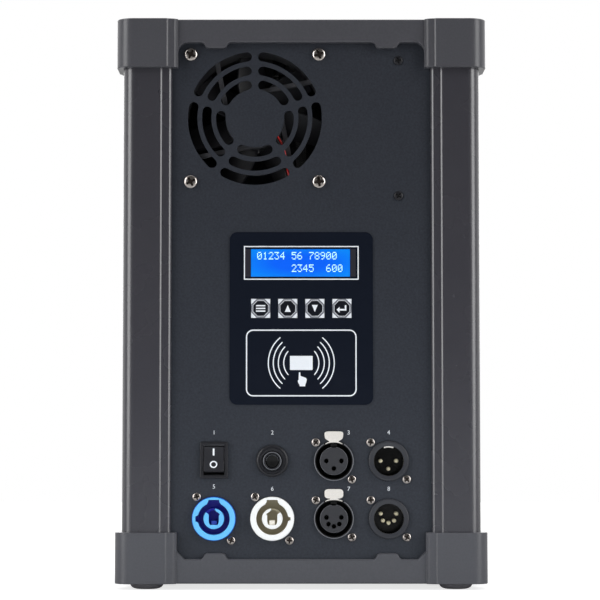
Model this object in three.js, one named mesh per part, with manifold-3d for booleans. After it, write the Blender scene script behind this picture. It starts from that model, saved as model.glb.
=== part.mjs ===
// Cold spark machine: a free-standing stage effect that blows heated granules up
// through a round nozzle in its top. Millimetres, +Z up, the control face looks
// along -Y, and the origin is on the floor at the middle of the footprint.

import * as THREE from 'three';
import { mergeVertices } from 'three/addons/utils/BufferGeometryUtils.js';
import Module from 'manifold-3d';

const wasm = await Module();
wasm.setup();

// Clearances and common stock

const SEAT = 0.2; // between pieces that seat on each other
const RUNNING = 0.3; // round pieces that slide or turn
const OVERRUN = 1; // how far a cutting shape runs past what it cuts
const SHEET = 1.5; // panels and brackets
const FULL_TURN = 360;

// Sides of a round piece, by its size
const LARGE = 20;
const MIDDLE = 14;
const SMALL = 10;
const TINY = 6;

const QUARTER = FULL_TURN / 4;

// Enclosure sizes

const foot = { radius: 9.15, show: 3.3, inset: 17.2, domeShare: 0.35, plugRadius: 4, plugLength: 4 };

const frame = {
  half: 103, // outer face of the corner blocks
  height: 313.5, // underside of the bottom frame to the top of the top frame
  cornerRadius: 9.5,
  blockWidth: 34.3, // outer face of a block to its inner edge
  margin: 1.3, // flat strip along that inner edge
  slopeWidth: 5.6, // sloping strip between the margin and the thick face
  marginDrop: 2.7, // how far the margin lies behind the thick face
  railDrop: 3.5, // how far a rail lies behind the thick face
  railInset: 0.7, // how far a rail stops short of the blocks' outer end
  recess: 15, // width of the rim round the cover plate
  ledge: 6, // width of the ledge that the plate rests on
  ledgeDepth: 7.3,
  ledgeHeight: 3,
  padWidth: 14, // corner pads, measured from the rim
  filletRadius: 5.6, // where a block's edge runs into the rail
  tabInset: 21.1, // middle of a tab from the block beside it
  tabBase: 15.6,
  tabTip: 9.5,
  tabDrop: 3.2,
};
const topFrame = { blockHeight: 27.3, railHeight: 13.1 };
const bottomFrame = { blockHeight: 28.3, railHeight: 13.6 };

const post = {
  inset: 3.7, // outer face behind the blocks' face
  cornerRadius: 7,
  faceWidth: 21.3, // outer face, from the outer corner to where it starts to slope
  slopeWidth: 5.9,
  lipThickness: 0.8,
  innerLip: 1.9,
  grooveDepth: 4.2,
  webRun: 9, // how far the inner lips run before the diagonal web
  portRadius: 3,
  portInset: 9,
};
const panelDrop = 7.5; // panel face behind the blocks' face
const panelGrip = 3.9; // how far a panel's edge reaches into the groove

const coverPlate = { thickness: 2, cornerGap: 0.6 };
const vent = { width: 3.2, length: 34, pitch: 8, endSteps: 2 };
const sideVents = { count: 12, drop: 95 }; // below the fan, so that nothing shows through both
const lowVents = { count: 12, rise: 52, topCount: 5, baseCount: 5 };

const hopper = {
  wall: 1.5,
  straightShare: 0.2481, // of the room above the heater
  taperShare: 0.3102,
  spoutShift: 7, // spout's middle nearer the nozzle than the mouth's
  spout: 14,
  spoutLength: 6,
  flange: 3,
};

const lid = {
  nozzleGap: 4, // between the lid and the nozzle's flange
  rimGap: 6, // between the lid and the end frame's rim
  depth: 50,
  thickness: 2.5,
  overlap: 3,
  cornerRadius: 3,
  tabWidth: 14,
  tabReach: 5,
  knuckle: 20,
  ear: 9,
  knuckleRadius: 2.1,
  pinRadius: 1.2,
  headRadius: 2,
  headLength: 1.2,
};

const nozzle = {
  flangeRadius: 28,
  flangeThickness: 2.6,
  bevel: 0.8,
  flare: 1.5,
  collarRadius: 17,
  collarLength: 12,
  counterbore: 5,
};

const chimney = { radius: 13, wall: 2 };

// Control face sizes. Places are measured from the middle, the top or the underside.

const columnShares = [-0.6699, -0.2226, 0.2497, 0.6706];
const rows = { upper: 67.5, lower: 35.65 };

const fan = {
  sideGap: 6.2, // between the fan and the corner post's lip
  topGap: 15.1, // between the fan and the top of the end frame
  size: 80,
  depth: 25,
  cornerRadius: 4,
  flange: 4,
  rim: 2, // between the bore and the fan's edge
  ductWall: 1.6,
  holeInset: 4.25,
  screwRadius: 1.9,
  screwLength: 9,
  headRadius: 3.7,
  headHeight: 1.8,
  brimShare: 0.33, // height of the head's straight rim, against the head's height
  crownShare: 0.72, // flat top of the head, against its radius
  crossWidth: 0.9,
  crossDepth: 0.9,
  crossShare: 1.1, // length of a cross arm, against the head's radius
  hubShare: 0.434, // hub's radius, against the bore's
  hubBase: 2.4,
  strutWidth: 4.4,
  strutDepth: 2.4,
  strutSink: 2.6, // the struts lie this far behind the mounting face, and the lead runs in front
  blades: 7,
  bladeChord: 19,
  bladeThickness: 1.5,
  bladePitch: 38,
  spokes: 5,
  spokeWidth: 3.5,
  leadRadius: 0.9,
  slotInnerShares: [0.8447, 0.6395, 0.4289], // the slots' radii, against the bore's
  slotOuterShares: [0.9842, 0.7763, 0.5711],
  slotSteps: [4, 3, 3],
};
const leadAngle = -35;
const leadSteps = 20;
const leadSides = 8;

const film = {
  width: 79.6,
  heightShare: 0.6362, // of the room between the upper row and the fan
  riseShare: 0.5235,
  cornerRadius: 4.3,
  thickness: 0.5,
  gap: 0.1,
};
const lcd = {
  x: -0.45,
  width: 55.1,
  height: 15.3,
  drop: 17.15, // from the film's top edge
  bezelWidth: 66,
  bezelHeight: 24,
  bezelDepth: 4.8,
  boardWidth: 70,
  boardHeight: 26,
};
const keys = {
  columnShares: [-1.5, -0.5, 0.5, 1.5],
  pitchShare: 0.18882, // of the film's width
  width: 10.7,
  height: 10.6,
  drop: 25.35, // below the display's middle
  proud: 0.15,
  flange: 0.9,
  flangeThickness: 0.8,
  stem: 4,
  stemLength: 2.5,
  travel: 0.5,
};
const board = {
  width: 84,
  margin: 2, // above and below the film
  thickness: 1.6,
  switchHeight: 5,
  switchWidth: 6,
  standoffRadius: 2.2,
  standoffInset: 2.8,
  chipWidth: 14,
  chipHeight: 2,
  headerX: 22.1,
  headerWidth: 8,
  headerHeight: 5,
};

const rocker = {
  rise: 0.4,
  width: 15.3,
  height: 20.2,
  cornerRadius: 1,
  bodyWidth: 13.4,
  bodyHeight: 18.4,
  bezel: 2,
  bodyDepth: 18,
  paddleWidth: 11.2,
  paddleHeight: 16.1,
  pivotDepth: 1.2, // pivot behind the panel's front face
  crest: 2.6, // the paddle's valley in front of the pivot
  backDepth: 2.6,
  halfAngle: 10,
  pivotRadius: 1.1,
  pivotReach: 0.8,
  bladeWidth: 4.8,
  bladeThickness: 0.8,
  bladeLength: 8,
};
const breaker = {
  collarRadius: 8.9,
  collarHeight: 2.4,
  neckRadius: 5.75,
  neckProud: 4,
  bore: 3.9,
  boreDepth: 10,
  buttonRadius: 3.6,
  buttonSink: 1.2,
  travel: 5,
  bodyWidth: 15,
  bodyHeight: 26,
  bodyDepth: 24,
};
const flangeSize = { widthShare: 0.857, reach: 3.5, cornerRadius: 3, thickness: 2.5 };
const power = {
  radius: 12.05,
  bore: 8.85,
  core: 5.7,
  proud: 2.8,
  coreSink: 1.6,
  cavity: 12,
  depth: 22,
  keyWidth: 6.5,
  keyReach: 2.3,
  keyDepth: 7,
  sideWidth: 2.6,
  sideReach: 1.6,
  pocketWidth: 5,
  pocketHeight: 7.6,
  pocketRise: 0.8,
  screwX: 9.5,
  screwZ: 12,
  screwRadius: 1.4,
};
const socket = {
  radius: 10.9,
  bore: 9.85,
  insert: 7.8,
  proud: 1.7,
  insertSink: 0.8,
  cavity: 12,
  depth: 20,
  hole: 1.25,
  holeDepth: 9,
  keyWidth: 4,
  screwX: 9.95,
  screwZ: 10.2,
  screwRadius: 1.4,
};
const plug = {
  radius: 11,
  bore: 8.15,
  proud: 1.9,
  cavity: 15,
  depth: 21,
  baseThickness: 2.5,
  pin: 1.15,
  pinLength: 8.5,
  fivePinRise: 1.9, // the five pins' circle lies above the cup's middle
  screwX: 9.95,
  screwZ: 10.2,
  screwRadius: 1.4,
};
const pinCircleShare = 0.54; // the pins' circle, against the connector's inner radius
const threePinAngles = [180, 0, -90];
const fivePinAngles = [170, 10, 225, -45, -90];
const connectorScrew = { headRadius: 2.5, headHeight: 1.2 };
const cupWall = 2.2;
const latch = {
  rise: 13.8,
  width: 10.8,
  height: 5.1,
  thickness: 1.1,
  standOff: 1.2,
  cornerRadius: 2.2,
  wingRadius: 1.15,
  neckWidth: 4.4,
  stemWidth: 4,
  stemHeight: 2,
  stemLength: 9,
  travel: 0.8,
};

// Sizes inside the case

const deck = { height: 50, sideGap: 14, frontGap: 49, rearGap: 22, hole: 9.5, footWidth: 8, leg: 14 };
const blower = {
  x: -13,
  radius: 22,
  wall: 1.8,
  depth: 30,
  duct: 18,
  standHeight: 1.5,
  inlet: 11,
  motorRadius: 13,
  motorLength: 18,
  footWidth: 30,
  impeller: 16,
  impellerInner: 12.5,
  plate: 1.5,
  blades: 10,
  bladeThickness: 1,
  hub: 4,
  shaft: 1.8,
  shaftLength: 8,
  endGap: 1,
};
const heater = { bore: 10, wall: 2.5, length: 86, flangeRadius: 17, flangeThickness: 3 };
const sleeve = { wall: 3, length: 74 };
const coil = { turns: 6, pitch: 9, tube: 2, gap: 1.3, rise: 12, lead: 8, steps: 12, leadSteps: 6,
  sides: 5 };
const auger = {
  bore: 8.8,
  wall: 2.2,
  shaft: 2.5,
  pitch: 11,
  thickness: 1.6,
  spoutReach: 12, // from the spout's middle to the housing's end
  endWall: 3,
  saddle: 12,
  saddleWidth: 20,
  inlet: 10,
  chimneyHole: 8,
  steps: 10,
  coupling: 6,
};
const gearmotor = { wallGap: 3.8, radius: 12, gearRadius: 14, gearLength: 9 };
const supply = {
  gap: 1.5,
  blowerGap: 4,
  frontGap: 55.5,
  rearGap: 24,
  height: 44,
  slotCount: 8,
  slotWidth: 3,
  slotLengthShare: 0.63,
  slotDepth: 0.8,
  block: 12,
  blockWidthShare: 0.79,
};
const driver = {
  gap: 2,
  armLength: 5.8,
  frontGap: 3,
  rearGap: 10,
  thickness: 1.6,
  standoff: 6,
  standoffRadius: 2.5,
  sinkShare: 0.81, // heat sink's width, against the board's
  sinkDepth: 50,
  sinkBase: 4,
  fins: 6,
  finThickness: 1.6,
  finHeight: 22,
  canRadius: 8,
  canHeight: 26,
  terminal: 3,
  terminalHeight: 64,
};

// Levels and planes that everything else follows

const bottomZ = foot.show;
const topZ = bottomZ + frame.height;
const panelFace = frame.half - panelDrop;
const panelBack = panelFace - SHEET;
const postFace = frame.half - post.inset;
const slopeStart = postFace - post.faceWidth;
const lipTip = slopeStart - post.slopeWidth;
const grooveEnd = lipTip + post.grooveDepth;
const panelHalf = lipTip + panelGrip;
const ledgeIn = frame.ledgeDepth + frame.ledgeHeight; // ledge's inner side, from the outer end
const lowSeat = bottomZ + ledgeIn + SEAT;
const highSeat = topZ - ledgeIn - SEAT;
const basePlateTop = bottomZ + frame.ledgeDepth - SEAT;
const topPlateUnder = topZ - frame.ledgeDepth + SEAT;
const topPlateTop = topPlateUnder + coverPlate.thickness;
const recessHalf = frame.half - frame.recess;
const ledgeHalf = recessHalf - frame.ledge;
const blockInner = frame.half - frame.blockWidth;
const padInner = recessHalf - frame.padWidth;
const tabPlace = blockInner - frame.tabInset;
const lidWidth = recessHalf - lid.rimGap - lid.nozzleGap - nozzle.flangeRadius;
const hopperX = recessHalf - lid.rimGap - lidWidth / 2;
const hopperWidth = lidWidth - 2 * lid.overlap;
const spoutX = hopperX - hopper.spoutShift;
const [firstColumn, secondColumn, thirdColumn, fourthColumn] = columnShares.map((share) => share * lipTip);
const footPlace = frame.half - foot.inset;
const chimneyBore = chimney.radius - chimney.wall;
const nozzleBottom = topPlateTop - nozzle.collarLength;
const hingeY = lid.depth / 2 + 2 * RUNNING + lid.knuckleRadius;
const hingeZ = topPlateTop + SEAT + RUNNING + lid.knuckleRadius;
const fanX = fan.size / 2 + fan.sideGap - lipTip;
const fanZ = topZ - fan.topGap - fan.size / 2;
const fanBore = fan.size / 2 - fan.rim;
const fanHub = fanBore * fan.hubShare;
const fanHoleSpacing = fan.size - 2 * fan.holeInset;
const upperRowZ = bottomZ + rows.upper;
const faceRoom = fanZ - fan.size / 2 - upperRowZ;
const filmZ = upperRowZ + faceRoom * film.riseShare;
const filmHeight = faceRoom * film.heightShare;
const lcdRise = filmHeight / 2 - lcd.drop;
const keysRise = lcdRise - keys.drop;
const displayZ = filmZ + lcdRise;
const keysZ = filmZ + keysRise;
const boardHeight = filmHeight + 2 * board.margin;
const lowerRowZ = bottomZ + rows.lower;
const rockerZ = upperRowZ + rocker.rise;
const filmFront = -film.gap - film.thickness;
const keyColumns = keys.columnShares.map((share) => share * keys.pitchShare * film.width);
const keyBack = SHEET + SEAT + keys.flangeThickness + keys.stemLength;
const boardFront = keyBack + keys.travel + SEAT + board.switchHeight;
const deckLow = basePlateTop + SEAT;
const deckUnder = deckLow + deck.height;
const deckTop = deckUnder + SHEET;
const heaterTop = deckTop + SEAT + heater.length;
const sleeveRadius = heater.bore + heater.wall + SEAT + sleeve.wall;
const chimneyTop = nozzleBottom + nozzle.counterbore - SEAT;
const hopperTop = topPlateUnder - SEAT;
const hopperRoom = hopperTop - heaterTop;
const hopperTaperTop = hopperTop - hopperRoom * hopper.straightShare;
const hopperTaperLow = hopperTaperTop - hopperRoom * hopper.taperShare;
const hopperBottom = hopperTaperLow - hopper.spoutLength;
const augerZ = hopperBottom - SEAT - auger.saddle;
const augerEnd = spoutX + auger.spoutReach;
const deckHalf = panelBack - deck.sideGap;
const deckFront = deck.frontGap - panelBack;
const deckRear = panelBack - deck.rearGap;
const coilRadius = sleeveRadius + coil.gap + coil.tube;

// The fan lead's route from the hub, along a strut and down to the control board
const leadRoute = [
  [9.8, 2.9, -6.9],
  [20.5, 2.9, -14.3],
  [37.7, 2.9, -26.4],
  [43.5, 2.9, -31.2],
  [47, 3.2, -38],
  [48, 5, -46],
  [48, 7.6, -53],
  [48, 8.2, -57.5],
  [48, 8.2, -61.5],
];

// Outlines are lists of points, anticlockwise, with arcs worked out in steps.

const radians = THREE.MathUtils.degToRad;
const point = (x, y) => new THREE.Vector2(x, y);

function arc(cx, cy, radius, from, to, steps) {
  return Array.from({ length: steps + 1 }, (_, i) => {
    const angle = radians(from + ((to - from) * i) / steps);
    return point(cx + radius * Math.cos(angle), cy + radius * Math.sin(angle));
  });
}

function circle(cx, cy, radius, sides) {
  return arc(cx, cy, radius, 0, FULL_TURN, sides).slice(0, sides);
}

function rectangle(cx, cy, width, height) {
  const x = width / 2;
  const y = height / 2;
  return [point(cx - x, cy - y), point(cx + x, cy - y), point(cx + x, cy + y), point(cx - x, cy + y)];
}

function roundedRectangle(cx, cy, width, height, radius, steps) {
  const x = width / 2 - radius;
  const y = height / 2 - radius;
  return [
    ...arc(cx + x, cy + y, radius, 0, QUARTER, steps),
    ...arc(cx - x, cy + y, radius, QUARTER, 2 * QUARTER, steps),
    ...arc(cx - x, cy - y, radius, 2 * QUARTER, 3 * QUARTER, steps),
    ...arc(cx + x, cy - y, radius, 3 * QUARTER, FULL_TURN, steps),
  ];
}

// A slot with round ends, upright in its outline's plane.
function slot(cx, cy, width, length, steps) {
  const radius = width / 2;
  const y = length / 2 - radius;
  return [
    ...arc(cx, cy + y, radius, 0, 2 * QUARTER, steps),
    ...arc(cx, cy - y, radius, 2 * QUARTER, FULL_TURN, steps),
  ];
}

// A curved slot of a fan grille: two arcs and two round ends.
function curvedSlot(inner, outer, from, to, arcSteps, endSteps) {
  const middle = (inner + outer) / 2;
  const radius = (outer - inner) / 2;
  const endArc = (angle, turn) => {
    const centre = arc(0, 0, middle, angle, angle, 1)[0];
    return arc(centre.x, centre.y, radius, turn, turn + 2 * QUARTER, endSteps).slice(1, endSteps);
  };
  return [
    ...arc(0, 0, outer, from, to, arcSteps),
    ...endArc(to, to),
    ...arc(0, 0, inner, to, from, arcSteps),
    ...endArc(from, from + 2 * QUARTER),
  ];
}

const shifted = (points, x, y) => points.map((p) => point(p.x + x, p.y + y));

// Solids

function solid(geometry) {
  geometry.deleteAttribute('normal');
  geometry.deleteAttribute('uv');
  const merged = mergeVertices(geometry);
  return new wasm.Manifold(new wasm.Mesh({
    numProp: 3,
    vertProperties: new Float32Array(merged.attributes.position.array),
    triVerts: new Uint32Array(merged.index.array),
  }));
}

function extrusion(points, depth) {
  return new THREE.ExtrudeGeometry(new THREE.Shape(points), { depth, bevelEnabled: false });
}

// An outline drawn in X and Y, filled from one height to another.
function slab(points, low, high, holes = []) {
  const filled = solid(extrusion(points, high - low).translate(0, 0, low));
  return cut(filled, holes.map((hole) => slab(hole, low - OVERRUN, high + OVERRUN)));
}

// An outline drawn in X and Z, filled from one depth to another along Y.
function wall(points, front, back, holes = []) {
  const upright = new THREE.Matrix4().makeRotationX(Math.PI / 2);
  const filled = solid(extrusion(points, back - front).applyMatrix4(upright).translate(0, back, 0));
  return cut(filled, holes.map((hole) => wall(hole, front - OVERRUN, back + OVERRUN)));
}

// An outline drawn in Y and Z, filled from one place to another along X.
function rib(points, left, right, holes = []) {
  const axes = [new THREE.Vector3(0, 1, 0), new THREE.Vector3(0, 0, 1), new THREE.Vector3(1, 0, 0)];
  const sideways = new THREE.Matrix4().makeBasis(...axes);
  const filled = solid(extrusion(points, right - left).applyMatrix4(sideways).translate(left, 0, 0));
  return cut(filled, holes.map((hole) => rib(hole, left - OVERRUN, right + OVERRUN)));
}

function box(x0, x1, y0, y1, z0, z1) {
  return solid(new THREE.BoxGeometry(x1 - x0, y1 - y0, z1 - z0)
    .translate((x0 + x1) / 2, (y0 + y1) / 2, (z0 + z1) / 2));
}

// A profile of radius and height, turned about Z.
function turned(profile, sides) {
  const points = profile.map(([radius, height]) => point(radius, height));
  return solid(new THREE.LatheGeometry(points, sides, Math.PI / 2).rotateX(Math.PI / 2));
}

function joined(...solids) {
  return solids.flat().reduce((whole, next) => whole.add(next));
}

function cut(whole, ...tools) {
  return tools.flat().reduce((rest, tool) => rest.subtract(tool), whole);
}

function geometryOf(manifold) {
  const mesh = manifold.getMesh();
  const geometry = new THREE.BufferGeometry();
  geometry.setAttribute('position', new THREE.BufferAttribute(mesh.vertProperties, 3));
  geometry.setIndex(new THREE.BufferAttribute(mesh.triVerts, 1));
  geometry.computeVertexNormals();
  return geometry;
}

// Finishes

const finish = (name, color, roughness, metalness) =>
  new THREE.MeshStandardMaterial({ name, color, roughness, metalness });

const powderCoat = finish('powder_coat', 0x35383f, 0.6, 0.2);
const postCoat = finish('post_coat', 0x39383f, 0.5, 0.3);
const frameMoulding = finish('frame_moulding', 0x4c4c52, 0.65, 0);
const zincSteel = finish('zinc_steel', 0xb9bcc0, 0.35, 0.9);
const stainless = finish('stainless', 0xc4c6c8, 0.3, 1);
const satinBlack = finish('satin_black', 0x1b1b1d, 0.45, 0);
const filmInk = finish('film_ink', 0x141925, 0.35, 0);
const keyInk = finish('key_ink', 0x101218, 0.35, 0);
const displayBlue = finish('display_blue', 0x206fe9, 0.2, 0);
const circuitGreen = finish('circuit_green', 0x1c5a33, 0.5, 0);
const inletBlue = finish('inlet_blue', 0x5db8ff, 0.35, 0);
const outletWhite = finish('outlet_white', 0xf2f2ef, 0.35, 0);
const latchNickel = finish('latch_nickel', 0xd9d2c2, 0.3, 0.8);
const contactGold = finish('contact_gold', 0xd0a050, 0.25, 1);
const leadRed = finish('lead_red', 0xb02018, 0.5, 0);
const copper = finish('copper', 0xb87040, 0.35, 1);
const ceramicWhite = finish('ceramic_white', 0xe4e0d6, 0.8, 0);
const softRubber = finish('foot_rubber', 0x18181a, 0.85, 0);

const group = new THREE.Group();

function place(parent, name, shape, material) {
  const mesh = new THREE.Mesh(geometryOf(shape), material);
  mesh.name = name;
  parent.add(mesh);
  return mesh;
}

function assembly(x, y, z) {
  const placed = new THREE.Group();
  placed.position.set(x, y, z);
  group.add(placed);
  return placed;
}

const quarters = [[-1, -1], [1, -1], [-1, 1], [1, 1]];
const quarterNames = ['front_left', 'front_right', 'rear_left', 'rear_right'];

// Turns one corner's outline, drawn for +X +Y, round to each corner in turn.
function turnedOutline(cornerPoints, quarterTurns) {
  const angle = radians(QUARTER * quarterTurns);
  return cornerPoints.map((p) => p.clone().rotateAround(point(0, 0), angle));
}

function allRound(cornerPoints) {
  return [0, 1, 2, 3].flatMap((turns) => turnedOutline(cornerPoints, turns));
}

// End frames: four corner blocks and four rails, built up from the outer end

function blockOutline() {
  const marginEnd = blockInner + frame.margin;
  const slopeEnd = marginEnd + frame.slopeWidth;
  const marginFace = frame.half - frame.marginDrop;
  const corner = frame.half - frame.cornerRadius;
  return [
    point(padInner, padInner),
    point(recessHalf, padInner),
    point(recessHalf, blockInner),
    point(marginFace, blockInner),
    point(marginFace, marginEnd),
    point(frame.half, slopeEnd),
    ...arc(corner, corner, frame.cornerRadius, 0, QUARTER, 4),
    point(slopeEnd, frame.half),
    point(marginEnd, marginFace),
    point(blockInner, marginFace),
    point(blockInner, recessHalf),
    point(padInner, recessHalf),
  ];
}

// The outline of the posts and panels together, with the seat round it.
function cavityOutline() {
  const face = postFace + SEAT;
  const corner = postFace - post.cornerRadius;
  const lipFace = panelFace + SEAT + post.lipThickness + SEAT;
  return allRound([
    point(panelFace + SEAT, lipTip - SEAT),
    point(lipFace, lipTip - SEAT),
    point(face, slopeStart - SEAT / 2),
    ...arc(corner, corner, post.cornerRadius + SEAT, 0, QUARTER, 4),
    point(slopeStart - SEAT / 2, face),
    point(lipTip - SEAT, lipFace),
    point(lipTip - SEAT, panelFace + SEAT),
  ]);
}

function endFrame(end) {
  const railFace = frame.half - frame.railDrop;
  const railOutline = rectangle(0, 0, 2 * railFace, 2 * railFace);
  const panelSide = panelFace + SEAT;
  const rails = slab(railOutline, frame.railInset, end.railHeight, [
    rectangle(0, 0, 2 * ledgeHalf, 2 * ledgeHalf),
  ]);
  const recess = slab(rectangle(0, 0, 2 * recessHalf, 2 * recessHalf), -OVERRUN, frame.ledgeDepth);
  const blocks = [0, 1, 2, 3].map((turns) => slab(turnedOutline(blockOutline(), turns), 0,
    end.blockHeight));
  const tab = [
    point(-frame.tabBase / 2, end.railHeight - OVERRUN),
    point(frame.tabBase / 2, end.railHeight - OVERRUN),
    point(frame.tabBase / 2, end.railHeight),
    point(frame.tabTip / 2, end.railHeight + frame.tabDrop),
    point(-frame.tabTip / 2, end.railHeight + frame.tabDrop),
    point(-frame.tabBase / 2, end.railHeight),
  ];
  const edge = blockInner;
  const filletTop = end.railHeight + frame.filletRadius;
  const fillet = [
    ...arc(edge - frame.filletRadius, filletTop, frame.filletRadius, -QUARTER, 0, 2),
    point(edge + OVERRUN, filletTop),
    point(edge + OVERRUN, end.railHeight - OVERRUN),
    point(edge - frame.filletRadius, end.railHeight - OVERRUN),
  ];
  const mirrored = fillet.map((p) => point(-p.x, p.y)).reverse();
  const onSide = [
    wall(shifted(tab, -tabPlace, 0), -railFace, -panelSide),
    wall(shifted(tab, tabPlace, 0), -railFace, -panelSide),
    wall(fillet, -railFace, -panelSide),
    wall(mirrored, -railFace, -panelSide),
  ];
  const trims = onSide.flatMap((trim) => [0, 1, 2, 3].map((turns) => trim.rotate([0, 0, QUARTER * turns])));
  const cavity = slab(cavityOutline(), ledgeIn, end.blockHeight + OVERRUN);
  return cut(joined(cut(rails, recess), blocks, trims), cavity);
}

function buildEndFrames() {
  const plugHoles = quarters.map(([sx, sy]) => slab(
    circle(sx * footPlace, sy * footPlace, foot.plugRadius + SEAT, MIDDLE), -OVERRUN,
      foot.plugLength + SEAT));
  const low = place(group, 'bottom_frame', cut(endFrame(bottomFrame), plugHoles), frameMoulding);
  low.position.z = bottomZ;
  const high = place(group, 'top_frame', endFrame(topFrame), frameMoulding);
  high.position.z = topZ;
  high.rotation.x = Math.PI;
}

// Corner posts: one extrusion with two grooves, standing at the four corners

function postOutline() {
  const lipBack = panelFace + SEAT;
  const lipFace = lipBack + post.lipThickness;
  const grooveBack = panelBack - SEAT;
  const innerFace = grooveBack - post.innerLip;
  const corner = postFace - post.cornerRadius;
  const web = lipTip + post.webRun;
  const half = [
    point(postFace, slopeStart),
    point(lipFace, lipTip),
    point(lipBack, lipTip),
    point(lipBack, grooveEnd),
    point(grooveBack, grooveEnd),
    point(grooveBack, lipTip),
    point(innerFace, lipTip),
    point(innerFace, web),
  ];
  const across = half.map((p) => point(p.y, p.x));
  return [...arc(corner, corner, post.cornerRadius, 0, QUARTER, 4), ...across, ...half.reverse()];
}

function buildPosts() {
  const portPlace = postFace - post.portInset;
  const port = circle(portPlace, portPlace, post.portRadius, TINY);
  const turnsOf = [2, 3, 1, 0];
  turnsOf.forEach((turns, i) => {
    const shape = slab(turnedOutline(postOutline(), turns), lowSeat, highSeat, [turnedOutline(port,
      turns)]);
    place(group, `corner_post_${quarterNames[i]}`, shape, postCoat);
  });
}

function buildFeet() {
  const dome = foot.show * foot.domeShare;
  const profile = [
    [0, 0],
    [foot.radius - 2 * dome, 0],
    [foot.radius, dome],
    [foot.radius, foot.show - SEAT],
    [foot.plugRadius, foot.show - SEAT],
    [foot.plugRadius, foot.show + foot.plugLength],
    [0, foot.show + foot.plugLength],
  ];
  quarters.forEach(([sx, sy], i) => {
    const mesh = place(group, `foot_${quarterNames[i]}`, turned(profile, MIDDLE), softRubber);
    mesh.position.set(sx * footPlace, sy * footPlace, 0);
  });
}

// Cover plates: squares notched for the corner pads, in the recess of each end frame

function plateOutline() {
  const half = recessHalf - SEAT;
  const notch = padInner - coverPlate.cornerGap;
  return allRound([point(half, notch), point(notch, notch), point(notch, half)]);
}

function ventRow(cx, cy, { count, pitch, width, length, endSteps }) {
  return Array.from({ length: count }, (_, i) =>
    slot(cx + (i - (count - 1) / 2) * pitch, cy, width, length, endSteps));
}

function knuckle(from, to, bore) {
  return rib(circle(hingeY, hingeZ, lid.knuckleRadius, SMALL), from, to, [circle(hingeY, hingeZ, bore,
    SMALL)]);
}

function buildTopPlate() {
  const opening = roundedRectangle(hopperX, 0, lidWidth - 2 * lid.overlap, lid.depth - 2 * lid.overlap,
    lid.cornerRadius, 3);
  const collar = circle(0, 0, nozzle.collarRadius + SEAT, LARGE);
  const vents = ventRow(-hopperX, 0, { ...vent, count: lowVents.topCount });
  const plate = slab(plateOutline(), topPlateUnder, topPlateTop, [opening, collar, ...vents]);
  const ears = [-1, 1].map((side) => {
    const inner = hopperX + side * (lid.knuckle / 2 + RUNNING);
    const outer = hopperX + side * (lid.knuckle / 2 + RUNNING + lid.ear);
    const [from, to] = side < 0 ? [outer, inner] : [inner, outer];
    const footing = box(from, to, hingeY, hingeY + lid.knuckleRadius, topPlateTop - SEAT, hingeZ);
    const bore = rib(circle(hingeY, hingeZ, lid.pinRadius + SEAT, SMALL), from - OVERRUN, to + OVERRUN);
    return cut(joined(knuckle(from, to, lid.pinRadius + SEAT), footing), bore);
  });
  place(group, 'top_plate', joined(plate, ears), powderCoat);
}

function buildBasePlate() {
  const under = basePlateTop - coverPlate.thickness;
  const intake = ventRow(blower.x, 0, { ...vent, count: lowVents.baseCount });
  place(group, 'base_plate', slab(plateOutline(), under, basePlateTop, intake), powderCoat);
}

// Hopper lid: swings up and back on a pin behind it

function buildLid() {
  const under = topPlateTop + SEAT;
  const top = under + lid.thickness;
  const leaf = slab(roundedRectangle(hopperX, 0, lidWidth, lid.depth, lid.cornerRadius, 4), under, top);
  const tab = slab(roundedRectangle(hopperX, -lid.depth / 2, lid.tabWidth, 2 * lid.tabReach,
    lid.tabReach / 2, 3),
    under + lid.thickness / 2, top);
  const from = hopperX - lid.knuckle / 2;
  const to = hopperX + lid.knuckle / 2;
  const bridge = box(from, to, lid.depth / 2 - OVERRUN, hingeY, under, top);
  const bore = rib(circle(hingeY, hingeZ, lid.pinRadius + RUNNING, SMALL), from - OVERRUN, to + OVERRUN);
  const barrel = knuckle(from, to, lid.pinRadius + RUNNING);
  place(group, 'hopper_lid', cut(joined(leaf, tab, bridge, barrel), bore), powderCoat);

  const end = lid.knuckle / 2 + RUNNING + lid.ear + SEAT;
  const pin = rib(circle(hingeY, hingeZ, lid.pinRadius, SMALL), hopperX - end,
    hopperX + end + lid.headLength / 2);
  const head = rib(circle(hingeY, hingeZ, lid.headRadius, SMALL), hopperX + end,
    hopperX + end + lid.headLength);
  place(group, 'lid_hinge_pin', joined(pin, head), zincSteel);
}

function buildNozzleRing() {
  const flangeTop = topPlateTop + SEAT + nozzle.flangeThickness;
  const profile = [
    [chimney.radius + SEAT, nozzleBottom],
    [nozzle.collarRadius, nozzleBottom],
    [nozzle.collarRadius, topPlateTop + SEAT],
    [nozzle.flangeRadius, topPlateTop + SEAT],
    [nozzle.flangeRadius, flangeTop - nozzle.bevel],
    [nozzle.flangeRadius - nozzle.bevel, flangeTop],
    [chimneyBore + nozzle.flare, flangeTop],
    [chimneyBore, flangeTop - nozzle.flare],
    [chimneyBore, nozzleBottom + nozzle.counterbore],
    [chimney.radius + SEAT, nozzleBottom + nozzle.counterbore],
    [chimney.radius + SEAT, nozzleBottom],
  ];
  place(group, 'nozzle_ring', turned(profile, LARGE), stainless);
}

// Panels: sheets held in the posts' grooves

function sheetPanel(holes) {
  const middle = (lowSeat + highSeat) / 2;
  return wall(rectangle(0, middle, 2 * panelHalf, highSeat - lowSeat), -panelFace, -panelBack, holes);
}

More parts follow.
